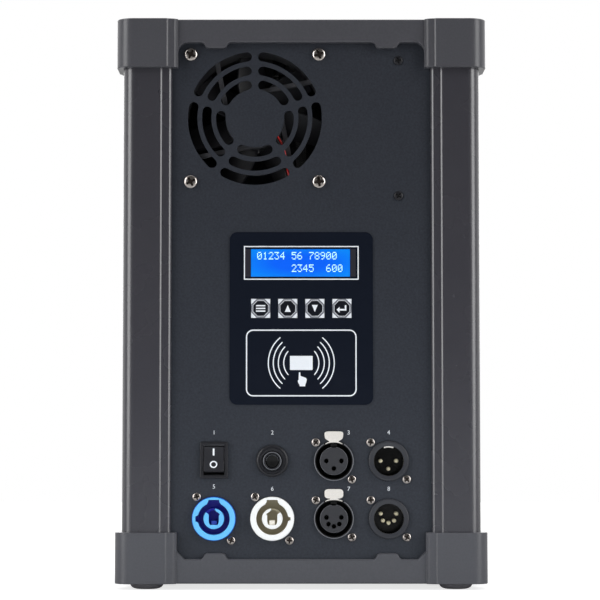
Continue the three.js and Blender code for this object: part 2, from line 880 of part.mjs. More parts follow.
function fanGrille() {
  const step = FULL_TURN / fan.spokes;
  return fan.slotSteps.flatMap((steps, ring) => {
    const inner = fanBore * fan.slotInnerShares[ring];
    const outer = fanBore * fan.slotOuterShares[ring];
    const middle = (inner + outer) / 2;
    const endRadius = (outer - inner) / 2;
    const back = THREE.MathUtils.radToDeg(Math.asin((fan.spokeWidth / 2 + endRadius) / middle));
    return Array.from({ length: fan.spokes }, (_, i) => {
      const spoke = QUARTER + i * step;
      return shifted(curvedSlot(inner, outer, spoke + back, spoke + step - back, steps, 2), fanX, fanZ);
    });
  });
}

const squareOf = (half) => quarters.map(([sx, sy]) => point(sx * half, sy * half));

function controlPanelHoles() {
  const fanScrewHoles = squareOf(fanHoleSpacing / 2).map((p) =>
    circle(fanX + p.x, fanZ + p.y, fan.screwRadius + SEAT, SMALL));
  const window = rectangle(lcd.x, displayZ, lcd.width + 2 * SEAT, lcd.height + 2 * SEAT);
  const keyHoles = keyColumns.map((x) => rectangle(x, keysZ, keys.width + 2 * SEAT,
    keys.height + 2 * SEAT));
  const rockerHole = rectangle(firstColumn, rockerZ, rocker.bodyWidth + 2 * SEAT,
    rocker.bodyHeight + 2 * SEAT);
  const breakerHole = circle(secondColumn, upperRowZ, breaker.neckRadius + SEAT, MIDDLE);
  const screwsRound = (x, z, size) => [-1, 1].map((side) =>
    circle(x + side * size.screwX, z - side * size.screwZ, size.screwRadius + SEAT, TINY));
  const powerHoles = [firstColumn, secondColumn].flatMap((x) => [
    circle(x, lowerRowZ, power.radius + SEAT, LARGE),
    ...screwsRound(x, lowerRowZ, power),
  ]);
  const dataHoles = [upperRowZ, lowerRowZ].flatMap((z) => [
    circle(thirdColumn, z, socket.radius + SEAT, MIDDLE),
    circle(fourthColumn, z, plug.radius + SEAT, MIDDLE),
    rectangle(thirdColumn, z + latch.rise, latch.stemWidth + 2 * RUNNING, latch.stemHeight + 2 * RUNNING),
    ...screwsRound(thirdColumn, z, socket),
    ...screwsRound(fourthColumn, z, plug),
  ]);
  const controls = [window, ...keyHoles, rockerHole, breakerHole];
  return [...fanGrille(), ...fanScrewHoles, ...controls, ...powerHoles, ...dataHoles];
}

function buildPanels() {
  place(group, 'control_panel', sheetPanel(controlPanelHoles()), powderCoat);
  const upper = ventRow(0, topZ - sideVents.drop, { ...vent, count: sideVents.count });
  const lower = ventRow(0, bottomZ + lowVents.rise, { ...vent, count: lowVents.count });
  const rear = place(group, 'rear_panel', sheetPanel([...upper, ...lower]), powderCoat);
  rear.rotation.z = Math.PI;
  const left = place(group, 'left_panel', sheetPanel(upper), powderCoat);
  left.rotation.z = -Math.PI / 2;
  const right = place(group, 'right_panel', sheetPanel(upper), powderCoat);
  right.rotation.z = Math.PI / 2;
}

// Control face. Each assembly's origin is on the panel's front face, at the middle of
// the piece that it carries, with -Y out of the case and +Y into it.

const behind = SHEET + SEAT; // the first plane clear of the panel's back
const onFace = (x, z) => assembly(x, -panelFace, z);

function buildFilm() {
  const at = onFace(0, filmZ);
  const back = -film.gap;
  const window = rectangle(lcd.x, lcdRise, lcd.width + 2 * SEAT, lcd.height + 2 * SEAT);
  const keyHoles = keyColumns.map((x) => rectangle(x, keysRise, keys.width + 2 * SEAT,
    keys.height + 2 * SEAT));
  const outline = roundedRectangle(0, 0, film.width, filmHeight, film.cornerRadius, 5);
  place(at, 'keypad_overlay', wall(outline, back - film.thickness, back, [window, ...keyHoles]), filmInk);
}

function buildDisplay() {
  const at = onFace(lcd.x, displayZ);
  const bezelBack = behind + lcd.bezelDepth;
  const glass = wall(rectangle(0, 0, lcd.width, lcd.height), filmFront + SEAT, behind + SEAT);
  const bezel = wall(rectangle(0, 0, lcd.bezelWidth, lcd.bezelHeight), behind, bezelBack);
  const pcb = wall(rectangle(0, 0, lcd.boardWidth, lcd.boardHeight), bezelBack,
    bezelBack + board.thickness);
  const header = wall(rectangle(0, 0, lcd.bezelWidth / 2, board.headerHeight), bezelBack,
    boardFront - SEAT);
  place(at, 'display_module', joined(glass, bezel, pcb, header), displayBlue);
}

function buildKeys() {
  const names = ['key_menu', 'key_up', 'key_down', 'key_enter'];
  names.forEach((name, i) => {
    const at = onFace(keyColumns[i], keysZ);
    const flangeBack = behind + keys.flangeThickness;
    const cap = wall(rectangle(0, 0, keys.width, keys.height), filmFront - keys.proud, behind + SEAT);
    const flange = wall(rectangle(0, 0, keys.width + 2 * keys.flange, keys.height + 2 * keys.flange),
      behind, flangeBack);
    const stem = wall(rectangle(0, 0, keys.stem, keys.stem), behind, keyBack);
    place(at, name, joined(cap, flange, stem), keyInk);
  });
}

function buildControlBoard() {
  const at = onFace(0, filmZ);
  const back = boardFront + board.thickness;
  const pcb = wall(rectangle(0, 0, board.width, boardHeight), boardFront, back);
  const switches = keyColumns.map((x) => wall(
    rectangle(x, keysRise, board.switchWidth, board.switchWidth), boardFront - board.switchHeight, back));
  const reach = squareOf(boardHeight / 2 - board.standoffInset).map((p) =>
    wall(circle(Math.sign(p.x) * (board.width / 2 - board.standoffInset), p.y, board.standoffRadius, TINY),
      behind, back));
  const chips = [-1, 0, 1].map((share) => wall(
    rectangle(share * board.width / 4, -boardHeight / 4, board.chipWidth, board.chipWidth),
    back - SEAT, back + board.chipHeight));
  const header = wall(rectangle(board.headerX, boardHeight / 2 - board.headerHeight / 2, board.headerWidth,
    board.headerHeight), boardFront - board.headerHeight, back);
  place(at, 'control_board', joined(pcb, switches, reach, chips, header), circuitGreen);
}

// Rocker switch: the paddle's side view is part of a circle round its pivot, so
// that it swings inside its well, with two slopes that meet in a valley.
function buildRocker() {
  const at = onFace(firstColumn, rockerZ);
  const wellX = rocker.paddleWidth / 2 + RUNNING;
  const wellZ = rocker.paddleHeight / 2 + RUNNING;
  const wellBack = rocker.pivotDepth + rocker.paddleHeight / 2;
  const bezel = wall(roundedRectangle(0, 0, rocker.width, rocker.height, rocker.cornerRadius, 3),
    -rocker.bezel, -SEAT);
  const body = wall(rectangle(0, 0, rocker.bodyWidth, rocker.bodyHeight), -rocker.bezel / 2,
    rocker.bodyDepth);
  const well = box(-wellX, wellX, -rocker.bezel - OVERRUN, wellBack, -wellZ, wellZ);
  const blades = [-1, 0, 1].map((share) => wall(
    rectangle(0, share * rocker.bodyHeight / 3, rocker.bladeWidth, rocker.bladeThickness),
    rocker.bodyDepth - OVERRUN, rocker.bodyDepth + rocker.bladeLength));
  const pivotHole = rib(circle(rocker.pivotDepth, 0, rocker.pivotRadius + SEAT, SMALL), -rocker.width,
    rocker.width);
  const housing = joined(cut(joined(bezel, body), well, pivotHole), blades);
  place(at, 'rocker_housing', housing, satinBlack);

  const reach = rocker.paddleHeight / 2;
  const disc = rib(circle(0, 0, reach, LARGE), -rocker.paddleWidth / 2, rocker.paddleWidth / 2);
  const frontCut = [-1, 1].map((side) => box(-rocker.width, rocker.width, -3 * reach, -rocker.crest,
    Math.min(0, side * 3 * reach), Math.max(0, side * 3 * reach)).rotate([side * rocker.halfAngle, 0, 0]));
  const backCut = box(-rocker.width, rocker.width, rocker.backDepth, 3 * reach, -3 * reach, 3 * reach);
  const pins = rib(circle(0, 0, rocker.pivotRadius, SMALL), -rocker.paddleWidth / 2 - rocker.pivotReach,
    rocker.paddleWidth / 2 + rocker.pivotReach);
  const paddle = joined(cut(disc, frontCut, backCut), pins);
  const mesh = place(at, 'rocker_paddle', paddle, satinBlack);
  mesh.position.y = rocker.pivotDepth;
  mesh.rotation.x = radians(-rocker.halfAngle);
}

function buildBreaker() {
  const at = onFace(secondColumn, upperRowZ);
  const collar = wall(circle(0, 0, breaker.collarRadius, MIDDLE), -breaker.collarHeight, -SEAT);
  const neck = wall(circle(0, 0, breaker.neckRadius, MIDDLE), -breaker.neckProud, behind + OVERRUN);
  const body = wall(rectangle(0, 0, breaker.bodyWidth, breaker.bodyHeight), behind, breaker.bodyDepth);
  const blades = [-1, 1].map((side) => wall(
    rectangle(0, side * breaker.bodyHeight / 4, rocker.bladeWidth, rocker.bladeThickness),
    breaker.bodyDepth - OVERRUN, breaker.bodyDepth + rocker.bladeLength));
  const bore = wall(circle(0, 0, breaker.bore, SMALL), -breaker.neckProud - OVERRUN, breaker.boreDepth);
  place(at, 'breaker_body', joined(cut(joined(collar, neck, body), bore), blades), satinBlack);
  const front = -breaker.neckProud + breaker.buttonSink;
  const button = wall(circle(0, 0, breaker.buttonRadius, SMALL), front, breaker.boreDepth - SEAT);
  place(at, 'breaker_button', button, satinBlack);
}

function connectorScrews(size) {
  return [-1, 1].map((side) => {
    const x = side * size.screwX;
    const z = -side * size.screwZ;
    const head = wall(circle(x, z, connectorScrew.headRadius, SMALL),
      -SEAT - connectorScrew.headHeight, -SEAT);
    const shank = wall(circle(x, z, size.screwRadius, TINY), -SEAT * 2, behind + flangeSize.thickness / 2);
    return joined(head, shank);
  });
}

function rearFlange(size) {
  const width = flangeSize.widthShare * (fourthColumn - thirdColumn);
  const height = 2 * (size.screwZ + flangeSize.reach);
  const outline = roundedRectangle(0, 0, width, height, flangeSize.cornerRadius, 3);
  return wall(outline, behind, behind + flangeSize.thickness);
}

function buildPowerSocket(name, x, side, material) {
  const at = onFace(x, lowerRowZ);
  const ring = wall(circle(0, 0, power.radius, LARGE), -power.proud, power.depth);
  const cavity = wall(circle(0, 0, power.bore, MIDDLE), -power.proud - OVERRUN, power.cavity);
  const key = wall(rectangle(0, power.bore + power.keyReach / 2 - OVERRUN / 2, power.keyWidth,
    power.keyReach + OVERRUN), -power.proud - OVERRUN, power.keyDepth);
  const notch = wall(rectangle(side * (power.bore + power.sideReach / 2 - OVERRUN / 2), 0,
    power.sideReach + OVERRUN, power.sideWidth), -power.proud - OVERRUN, power.keyDepth);
  const core = wall(circle(0, 0, power.core, MIDDLE), -power.proud + power.coreSink,
    power.cavity + OVERRUN);
  const pocket = wall(rectangle(0, power.pocketRise, power.pocketWidth, power.pocketHeight),
    -power.proud - OVERRUN, power.cavity - OVERRUN);
  const blades = [-1, 0, 1].map((share) => wall(
    rectangle(share * power.core, 0, rocker.bladeThickness, rocker.bladeWidth),
    power.depth - OVERRUN, power.depth + rocker.bladeLength));
  const shell = cut(joined(ring, rearFlange(power)), cavity, key, notch);
  place(at, name, joined(cut(joined(shell, core), pocket), blades, connectorScrews(power)), material);
}

// Pins or holes sit at angles round the connector's middle, 0 to the right.
function buildSocket(name, z, angles) {
  const at = onFace(thirdColumn, z);
  const shellRing = wall(circle(0, 0, socket.radius, MIDDLE), -socket.proud, socket.depth);
  const gap = wall(circle(0, 0, socket.bore, MIDDLE), -socket.proud - OVERRUN, socket.cavity,
    [circle(0, 0, socket.insert, MIDDLE)]);
  const sink = wall(circle(0, 0, socket.bore, MIDDLE), -socket.proud - OVERRUN,
    -socket.proud + socket.insertSink);
  const key = wall(rectangle(0, (socket.insert + socket.bore) / 2, socket.keyWidth,
    socket.bore - socket.insert + OVERRUN), -socket.proud + socket.insertSink, socket.cavity + OVERRUN);
  const holes = pinPlaces(angles, socket.insert * pinCircleShare).map((p) =>
    wall(circle(p.x, p.y, socket.hole, TINY), -socket.proud - OVERRUN, socket.holeDepth));
  const slotAbove = box(-latch.stemWidth / 2 - RUNNING, latch.stemWidth / 2 + RUNNING, -OVERRUN,
    latch.stemLength + latch.travel + OVERRUN, latch.rise - latch.stemHeight / 2 - RUNNING,
    2 * latch.rise);
  const whole = cut(joined(shellRing, rearFlange(socket)), sink, gap, slotAbove);
  place(at, name, joined(cut(joined(whole, key), holes), connectorScrews(socket)), satinBlack);
}

function buildLatch(name, z, straight) {
  const at = onFace(thirdColumn, z);
  const back = -latch.standOff;
  const front = back - latch.thickness;
  const tab = straight
    ? wall(roundedRectangle(0, latch.rise, latch.width, latch.height, latch.cornerRadius, 4), front, back)
    : joined(
      wall(roundedRectangle(0, latch.rise + latch.height / 4, latch.width, latch.height / 2,
        latch.wingRadius, 4), front, back),
      wall(rectangle(0, latch.rise - latch.height / 4, latch.neckWidth, latch.height / 2), front, back));
  const stem = wall(rectangle(0, latch.rise, latch.stemWidth, latch.stemHeight),
    front + latch.thickness / 2,
    latch.stemLength);
  place(at, name, joined(tab, stem), latchNickel);
}

function pinPlaces(angles, radius) {
  return angles.map((angle) => arc(0, 0, radius, angle, angle, 1)[0]);
}

function buildPlug(label, z, angles, rise) {
  const at = onFace(fourthColumn, z);
  const cupWallBack = plug.cavity + cupWall;
  const ring = wall(circle(0, 0, plug.radius, MIDDLE), -plug.proud, cupWallBack);
  const cup = wall(circle(0, 0, plug.bore, MIDDLE), -plug.proud - OVERRUN, plug.cavity);
  const outlet = wall(circle(0, 0, plug.bore / 2, SMALL), plug.cavity - OVERRUN, cupWallBack + OVERRUN);
  const shell = joined(cut(joined(ring, rearFlange(plug)), cup, outlet), connectorScrews(plug));
  place(at, `data_in_${label}_shell`, shell, satinBlack);

  const baseBack = plug.cavity - SEAT;
  const base = wall(circle(0, 0, plug.bore - SEAT, MIDDLE), baseBack - plug.baseThickness, baseBack);
  const pins = pinPlaces(angles, plug.bore * pinCircleShare).map((p) =>
    wall(circle(p.x, p.y + rise, plug.pin, TINY), baseBack - plug.baseThickness - plug.pinLength, baseBack));
  place(at, `data_in_${label}_contacts`, joined(base, pins), contactGold);
}

// Fan, behind the grille: the side that carries the struts lies against the panel.

const fanHoles = (radius) => squareOf(fanHoleSpacing / 2).map((p) => circle(p.x, p.y, radius, SMALL));

function strut(angle, from, to, width, front, back) {
  return wall(rectangle((from + to) / 2, 0, to - from, width), front, back).rotate([0, -angle, 0]);
}

function buildFan() {
  const at = onFace(fanX, fanZ);
  const back = behind + fan.depth;
  const outline = roundedRectangle(0, 0, fan.size, fan.size, fan.cornerRadius, 3);
  const bore = circle(0, 0, fanBore, LARGE);
  const holes = fanHoles(fan.screwRadius + SEAT);
  const strutFront = behind + fan.strutSink;
  const baseBack = strutFront + fan.hubBase;
  const front = wall(outline, behind, behind + fan.flange, [bore, ...holes]);
  const rear = wall(outline, back - fan.flange, back, [bore, ...holes]);
  const duct = wall(circle(0, 0, fanBore + fan.ductWall, LARGE), behind + fan.flange / 2,
    back - fan.flange / 2, [bore]);
  const hubBase = wall(circle(0, 0, fanHub, MIDDLE), strutFront, baseBack);
  const struts = [0, 1, 2, 3].map((i) => strut(leadAngle + i * QUARTER, fanHub - OVERRUN,
    fanBore + fan.ductWall / 2,
    fan.strutWidth, strutFront, strutFront + fan.strutDepth));
  const groove = strut(leadAngle, fanBore - OVERRUN, fan.size, 2 * (fan.leadRadius + RUNNING),
    behind - OVERRUN, behind + fan.strutSink);
  const bearing = wall(circle(0, 0, fan.screwRadius + RUNNING, SMALL), strutFront - OVERRUN,
    baseBack + OVERRUN);
  const frameSolid = cut(joined(front, rear, duct, hubBase, struts), groove, bearing);
  place(at, 'fan_frame', frameSolid, satinBlack);

  const rotorFront = baseBack + RUNNING;
  const rotorBack = back - 2 * RUNNING;
  const hub = wall(circle(0, 0, fanHub, MIDDLE), rotorFront, rotorBack);
  const shaft = wall(circle(0, 0, fan.screwRadius, SMALL), strutFront + SEAT, rotorFront + OVERRUN);
  const tip = fanBore - 3 * RUNNING;
  const sweep = wall(circle(0, 0, tip, LARGE), rotorFront + OVERRUN, rotorBack - OVERRUN);
  const middle = (rotorFront + rotorBack) / 2;
  const blades = Array.from({ length: fan.blades }, (_, i) => {
    const blade = box(fanHub - OVERRUN, fanBore, -fan.bladeThickness / 2, fan.bladeThickness / 2,
      -fan.bladeChord / 2, fan.bladeChord / 2);
    return blade.rotate([fan.bladePitch, 0, 0]).translate([0, middle, 0])
      .rotate([0, (FULL_TURN * i) / fan.blades, 0]).intersect(sweep);
  });
  place(at, 'fan_rotor', joined(hub, shaft, blades), satinBlack);

  const lead = new THREE.CatmullRomCurve3(leadRoute.map((p) => new THREE.Vector3(...p)), false,
    'centripetal');
  place(at, 'fan_lead', tube(lead, fan.leadRadius, leadSides, leadSteps), leadRed);
}

function tube(path, radius, sides, steps) {
  const section = new THREE.Shape(circle(0, 0, radius, sides));
  return solid(new THREE.ExtrudeGeometry(section, { steps, extrudePath: path, bevelEnabled: false }));
}

function buildFanScrews() {
  const top = SEAT + fan.headHeight;
  const profile = [
    [0, -fan.screwLength],
    [fan.screwRadius, -fan.screwLength],
    [fan.screwRadius, SEAT],
    [fan.headRadius, SEAT],
    [fan.headRadius, SEAT + fan.headHeight * fan.brimShare],
    [fan.headRadius * fan.crownShare, top],
    [0, top],
  ];
  const long = fan.headRadius * fan.crossShare;
  const cross = [[long, fan.crossWidth], [fan.crossWidth, long]].map(([w, h]) =>
    slab(rectangle(0, 0, w, h), top - fan.crossDepth, top + OVERRUN));
  const screw = cut(turned(profile, SMALL), cross).rotate([QUARTER, 0, 0]);
  squareOf(fanHoleSpacing / 2).forEach((p, i) => {
    place(onFace(fanX + p.x, fanZ + p.y), `fan_screw_${i + 1}`, screw, zincSteel);
  });
}

// Spark path: blower, heated tube, chimney and nozzle stand on one axis.

function buildDeck() {
  const legs = [-1, 1].map((side) => {
    const outer = side * deckHalf;
    const inner = side * (deckHalf - SHEET);
    const toe = side * (deckHalf - deck.footWidth);
    const sheet = box(Math.min(outer, inner), Math.max(outer, inner), deckFront, deckRear, deckLow,
      deckTop);
    const footing = box(Math.min(outer, toe), Math.max(outer, toe), deckFront, deckRear, deckLow,
      deckLow + SHEET);
    return joined(sheet, footing);
  });
  const middle = (deckFront + deckRear) / 2;
  const depth = deckRear - deckFront;
  const top = slab(rectangle(0, middle, 2 * deckHalf, depth), deckUnder, deckTop, [circle(0, 0,
    deck.hole, MIDDLE)]);
  const window = box(-2 * deckHalf, 2 * deckHalf, deckFront + deck.leg, deckRear - deck.leg,
    deckLow + deck.leg, deckUnder - deck.leg);
  place(group, 'chassis_deck', cut(joined(top, legs), window), zincSteel);
}

function buildBlower() {
  const axisZ = deckLow + blower.standHeight + blower.radius;
  const at = assembly(blower.x, 0, axisZ);
  const half = blower.depth / 2;
  const ductTop = deckUnder - SEAT - axisZ;
  const inner = blower.radius - blower.wall;
  const scroll = (radius, ductInset, top, front, back) => joined(
    wall(circle(0, 0, radius, LARGE), front, back),
    box(blower.radius - blower.duct + ductInset, blower.radius - ductInset, front, back, 0, top));
  const shell = scroll(blower.radius, 0, ductTop, -half, half);
  const hollow = scroll(inner, blower.wall, ductTop + OVERRUN, -half + blower.wall, half - blower.wall);
  const inlet = wall(circle(0, 0, blower.inlet, MIDDLE), -half - OVERRUN, 0);
  const motor = wall(circle(0, 0, blower.motorRadius, MIDDLE), half - OVERRUN, half + blower.motorLength);
  const shaftHole = wall(circle(0, 0, blower.shaft + RUNNING, SMALL), 0, half + blower.shaftLength + SEAT);
  const footing = box(-blower.footWidth / 2, blower.footWidth / 2, -half, half,
    -blower.radius - blower.standHeight, -blower.radius + blower.wall);
  const well = wall(circle(0, 0, inner, LARGE), -half + blower.wall, half - blower.wall);
  const housing = cut(joined(cut(joined(shell, footing), well), motor), hollow, inlet, shaftHole);
  place(at, 'blower_housing', housing, satinBlack);

  const back = half - blower.wall - blower.endGap;
  const front = -back;
  const disc = wall(circle(0, 0, blower.impeller, MIDDLE), back - blower.plate, back);
  const ring = wall(circle(0, 0, blower.impeller, MIDDLE), front, front + blower.plate,
    [circle(0, 0, blower.impellerInner, MIDDLE)]);
  const hub = wall(circle(0, 0, blower.hub, SMALL), 0, back);
  const shaft = wall(circle(0, 0, blower.shaft, SMALL), back - OVERRUN, half + blower.shaftLength);
  const blades = Array.from({ length: blower.blades }, (_, i) =>
    wall(rectangle((blower.impeller + blower.impellerInner) / 2, 0,
      blower.impeller - blower.impellerInner - SEAT,
      blower.bladeThickness), front, back).rotate([0, (FULL_TURN * i) / blower.blades, 0]));
  place(at, 'blower_impeller', joined(disc, ring, hub, shaft, blades), satinBlack);
}

// The tube that heats the granules, in its sleeve and coil
function buildHeater() {
  const base = deckTop + SEAT;
  const outer = heater.bore + heater.wall;
  const profile = [
    [heater.bore, base],
    [heater.flangeRadius, base],
    [heater.flangeRadius, base + heater.flangeThickness],
    [outer, base + heater.flangeThickness],
    [outer, heaterTop],
    [heater.bore, heaterTop],
    [heater.bore, base],
  ];
  place(group, 'heating_tube', turned(profile, MIDDLE), stainless);
  const low = base + heater.flangeThickness + SEAT;
  place(group, 'insulation_sleeve', slab(circle(0, 0, sleeveRadius, MIDDLE), low, low + sleeve.length,
    [circle(0, 0, outer + SEAT, MIDDLE)]), ceramicWhite);

  const start = low + coil.rise;
  const places = Array.from({ length: coil.turns * coil.steps + 1 }, (_, i) => {
    const [p] = arc(0, 0, coilRadius, 2 * QUARTER + (i * FULL_TURN) / coil.steps, 0, 1);
    return new THREE.Vector3(p.x, p.y, start + (i * coil.pitch) / coil.steps);
  });
  const lead = (p) => new THREE.Vector3(p.x - coil.lead, p.y, p.z);
  const path = new THREE.CatmullRomCurve3([lead(places[0]), ...places, lead(places.at(-1))], false,
    'centripetal');
  place(group, 'induction_coil', tube(path, coil.tube, coil.sides,
    coil.turns * coil.steps + coil.leadSteps), copper);
}

function buildChimney() {
  const bore = circle(0, 0, chimneyBore, MIDDLE);
  const pipe = slab(circle(0, 0, chimney.radius, MIDDLE), heaterTop + SEAT, chimneyTop, [bore]);
  const side = rib(circle(0, augerZ, auger.chimneyHole, SMALL), 0, chimney.radius + OVERRUN);
  place(group, 'chimney_tube', cut(pipe, side), stainless);
}

// Hopper and feed: granules fall through the hopper into a screw that turns them out
// into the chimney.

function frustum(low, high, zLow, zHigh) {
  const geometry = new THREE.BoxGeometry(1, 1, 1);
  const position = geometry.attributes.position;
  for (let i = 0; i < position.count; i += 1) {
    const end = position.getZ(i) < 0 ? low : high;
    position.setXYZ(i, end.x + position.getX(i) * end.size, position.getY(i) * end.size,
      position.getZ(i) < 0 ? zLow : zHigh);
  }
  return solid(geometry);
}

function funnel(inset, overrun) {
  const mouth = { x: hopperX, size: hopperWidth - 2 * inset };
  const spout = { x: spoutX, size: hopper.spout - 2 * inset };
  return joined(
    slab(rectangle(mouth.x, 0, mouth.size, mouth.size), hopperTaperTop, hopperTop + overrun),
    frustum(spout, mouth, hopperTaperLow, hopperTaperTop),
    slab(rectangle(spout.x, 0, spout.size, spout.size), hopperBottom - overrun, hopperTaperLow));
}

function buildHopper() {
  const brim = hopperWidth + 2 * hopper.flange;
  const flange = slab(rectangle(hopperX, 0, brim, brim), hopperTop - hopper.wall, hopperTop);
  place(group, 'hopper', cut(joined(funnel(0, 0), flange), funnel(hopper.wall, OVERRUN)), stainless);
}

function helicalFlight(inner, outer, thickness, length) {
  const count = Math.round((length / auger.pitch) * auger.steps);
  const positions = [];
  const index = [];
  for (let k = 0; k <= count; k += 1) {
    const angle = radians((k * FULL_TURN) / auger.steps);
    const x = (k * length) / count;
    [[inner, 0], [outer, 0], [outer, thickness], [inner, thickness]].forEach(([radius, along]) => {
      positions.push(x + along, radius * Math.cos(angle), radius * Math.sin(angle));
    });
  }
  for (let k = 0; k < count; k += 1) {
    for (let i = 0; i < 4; i += 1) {
      const j = (i + 1) % 4;
      const [a, b, c, d] = [4 * k + i, 4 * k + j, 4 * (k + 1) + i, 4 * (k + 1) + j];
      index.push(a, c, b, b, c, d);
    }
  }
  const last = 4 * count;
  index.push(0, 1, 2, 0, 2, 3, last, last + 2, last + 1, last, last + 3, last + 2);
  const geometry = new THREE.BufferGeometry();
  geometry.setAttribute('position', new THREE.Float32BufferAttribute(positions, 3));
  geometry.setIndex(index);
  return solid(geometry);
}

function buildAuger() {
  const outer = auger.bore + auger.wall;
  const pipe = rib(circle(0, augerZ, outer, MIDDLE), 0, augerEnd);
  const saddleHalf = auger.saddleWidth / 2;
  const saddle = box(spoutX - saddleHalf, spoutX + saddleHalf, -saddleHalf, saddleHalf,
    augerZ, augerZ + auger.saddle);
  const flange = rib(circle(0, augerZ, gearmotor.gearRadius, MIDDLE), augerEnd - auger.endWall, augerEnd);
  const bore = rib(circle(0, augerZ, auger.bore, MIDDLE), -OVERRUN, augerEnd - auger.endWall);
  const shaftHole = rib(circle(0, augerZ, auger.shaft + RUNNING, SMALL), 0, augerEnd + OVERRUN);
  const inlet = box(spoutX - auger.inlet / 2, spoutX + auger.inlet / 2, -auger.inlet / 2,
    auger.inlet / 2, augerZ, augerZ + auger.saddle + OVERRUN);
  const round = slab(circle(0, 0, chimney.radius + SEAT, MIDDLE), augerZ - 2 * outer, augerZ + 2 * outer);
  const housing = cut(joined(pipe, saddle, flange), bore, shaftHole, inlet, round);
  place(group, 'auger_housing', housing, satinBlack);

  const start = chimney.radius + 2 * SEAT;
  const flightEnd = augerEnd - auger.endWall - 2 * RUNNING - auger.thickness;
  const shaft = rib(circle(0, 0, auger.shaft, SMALL), start, augerEnd + auger.coupling);
  const flight = helicalFlight(auger.shaft - SEAT, auger.bore - RUNNING, auger.thickness,
    flightEnd - start).translate([start, 0, 0]);
  const screw = place(group, 'feed_auger', joined(shaft, flight), stainless);
  screw.position.z = augerZ;

  const left = augerEnd + SEAT;
  const gear = rib(circle(0, augerZ, gearmotor.gearRadius, MIDDLE), left, left + gearmotor.gearLength);
  const can = rib(circle(0, augerZ, gearmotor.radius, MIDDLE), left, panelBack - gearmotor.wallGap);
  const socketHole = rib(circle(0, augerZ, auger.shaft + SEAT, SMALL), left - OVERRUN,
    left + auger.coupling);
  place(group, 'feed_gearmotor', cut(joined(gear, can), socketHole), zincSteel);
}

// Power supply under the deck, and the driver board on it

function buildSupply() {
  const x0 = -deckHalf + SHEET + supply.gap;
  const x1 = blower.x - blower.radius - supply.blowerGap;
  const width = x1 - x0;
  const front = supply.frontGap - panelFace;
  const back = panelBack - supply.rearGap;
  const top = deckLow + supply.height;
  const x0Clear = Math.max(x0, -deckHalf + deck.footWidth + supply.gap);
  const lift = deckLow + SHEET + SEAT;
  const body = joined(
    box(x0, x1, front, back, lift, top),
    box(x0Clear, x1, front, back, deckLow, lift + OVERRUN));
  const middle = (x0 + x1) / 2;
  const slotHalf = (width * supply.slotLengthShare) / 2;
  const slotPitch = (back - front - supply.block) / (supply.slotCount + 2);
  const slots = Array.from({ length: supply.slotCount }, (_, i) => {
    const place = front + supply.block + (i + 1) * slotPitch;
    return box(middle - slotHalf, middle + slotHalf, place, place + supply.slotWidth,
      top - supply.slotDepth, top + OVERRUN);
  });
  const blockHalf = (width * supply.blockWidthShare) / 2;
  const block = box(middle - blockHalf, middle + blockHalf, front - supply.block, front + OVERRUN,
    lift + supply.block, lift + 2 * supply.block);
  place(group, 'power_supply', cut(joined(body, block), slots), zincSteel);
}

function buildDriver() {
  const x0 = -deckHalf + driver.gap;
  const postRight = -coilRadius - coil.lead - SEAT;
  const x1 = postRight - driver.terminal - driver.armLength;
  const width = x1 - x0;
  const front = deckFront + driver.frontGap;
  const back = deckRear - driver.rearGap;
  const depth = back - front;
  const sinkWidth = width * driver.sinkShare;
  const low = deckTop + SEAT;
  const under = low + driver.standoff;
  const top = under + driver.thickness;
  const pcb = box(x0, x1, front, back, under, top);
  const inset = 2 * driver.standoffRadius;
  const reach = quarters.map(([sx, sy]) => slab(circle(
    (x0 + x1) / 2 + sx * (width / 2 - inset), (front + back) / 2 + sy * (depth / 2 - inset),
    driver.standoffRadius, TINY), low, top));
  const sinkX = (x0 + x1) / 2;
  const sinkBack = back - 2 * driver.canRadius - 2 * inset;
  const sinkFront = sinkBack - driver.sinkDepth;
  const base = box(sinkX - sinkWidth / 2, sinkX + sinkWidth / 2, sinkFront, sinkBack,
    top - SEAT, top + driver.sinkBase);
  const finStep = (sinkWidth - driver.finThickness) / (driver.fins - 1);
  const fins = Array.from({ length: driver.fins }, (_, i) => {
    const left = sinkX - sinkWidth / 2 + i * finStep;
    return box(left, left + driver.finThickness, sinkFront, sinkBack, top,
      top + driver.sinkBase + driver.finHeight);
  });
  const cans = [-1, 1].map((side) => slab(circle(sinkX + side * (driver.canRadius + SEAT),
    back - driver.canRadius,
    driver.canRadius, SMALL), top - SEAT, top + driver.canHeight));
  const terminalPost = box(postRight - driver.terminal, postRight, -2 * coil.tube, 2 * coil.tube,
    top - SEAT, top + driver.terminalHeight);
  const arm = box(x1 - OVERRUN, postRight, -2 * coil.tube, 2 * coil.tube, under, top);
  place(group, 'induction_driver', joined(pcb, reach, base, fins, cans, terminalPost, arm), circuitGreen);
}

buildEndFrames();
buildPosts();
buildFeet();
buildTopPlate();
buildBasePlate();
buildLid();
buildNozzleRing();
buildPanels();
buildFilm();
buildDisplay();
buildKeys();
buildControlBoard();
buildRocker();
buildBreaker();
buildPowerSocket('power_in_socket', firstColumn, -1, inletBlue);
buildPowerSocket('power_out_socket', secondColumn, 1, outletWhite);
buildSocket('data_out_3pin_shell', upperRowZ, threePinAngles);
buildSocket('data_out_5pin_shell', lowerRowZ, fivePinAngles);
buildLatch('data_out_3pin_latch', upperRowZ, false);
buildLatch('data_out_5pin_latch', lowerRowZ, true);
buildPlug('3pin', upperRowZ, threePinAngles, 0);
buildPlug('5pin', lowerRowZ, fivePinAngles, plug.fivePinRise);
buildFan();
buildFanScrews();
buildDeck();
buildBlower();
buildHeater();
buildChimney();
buildHopper();
buildAuger();
buildSupply();
buildDriver();

export default group;
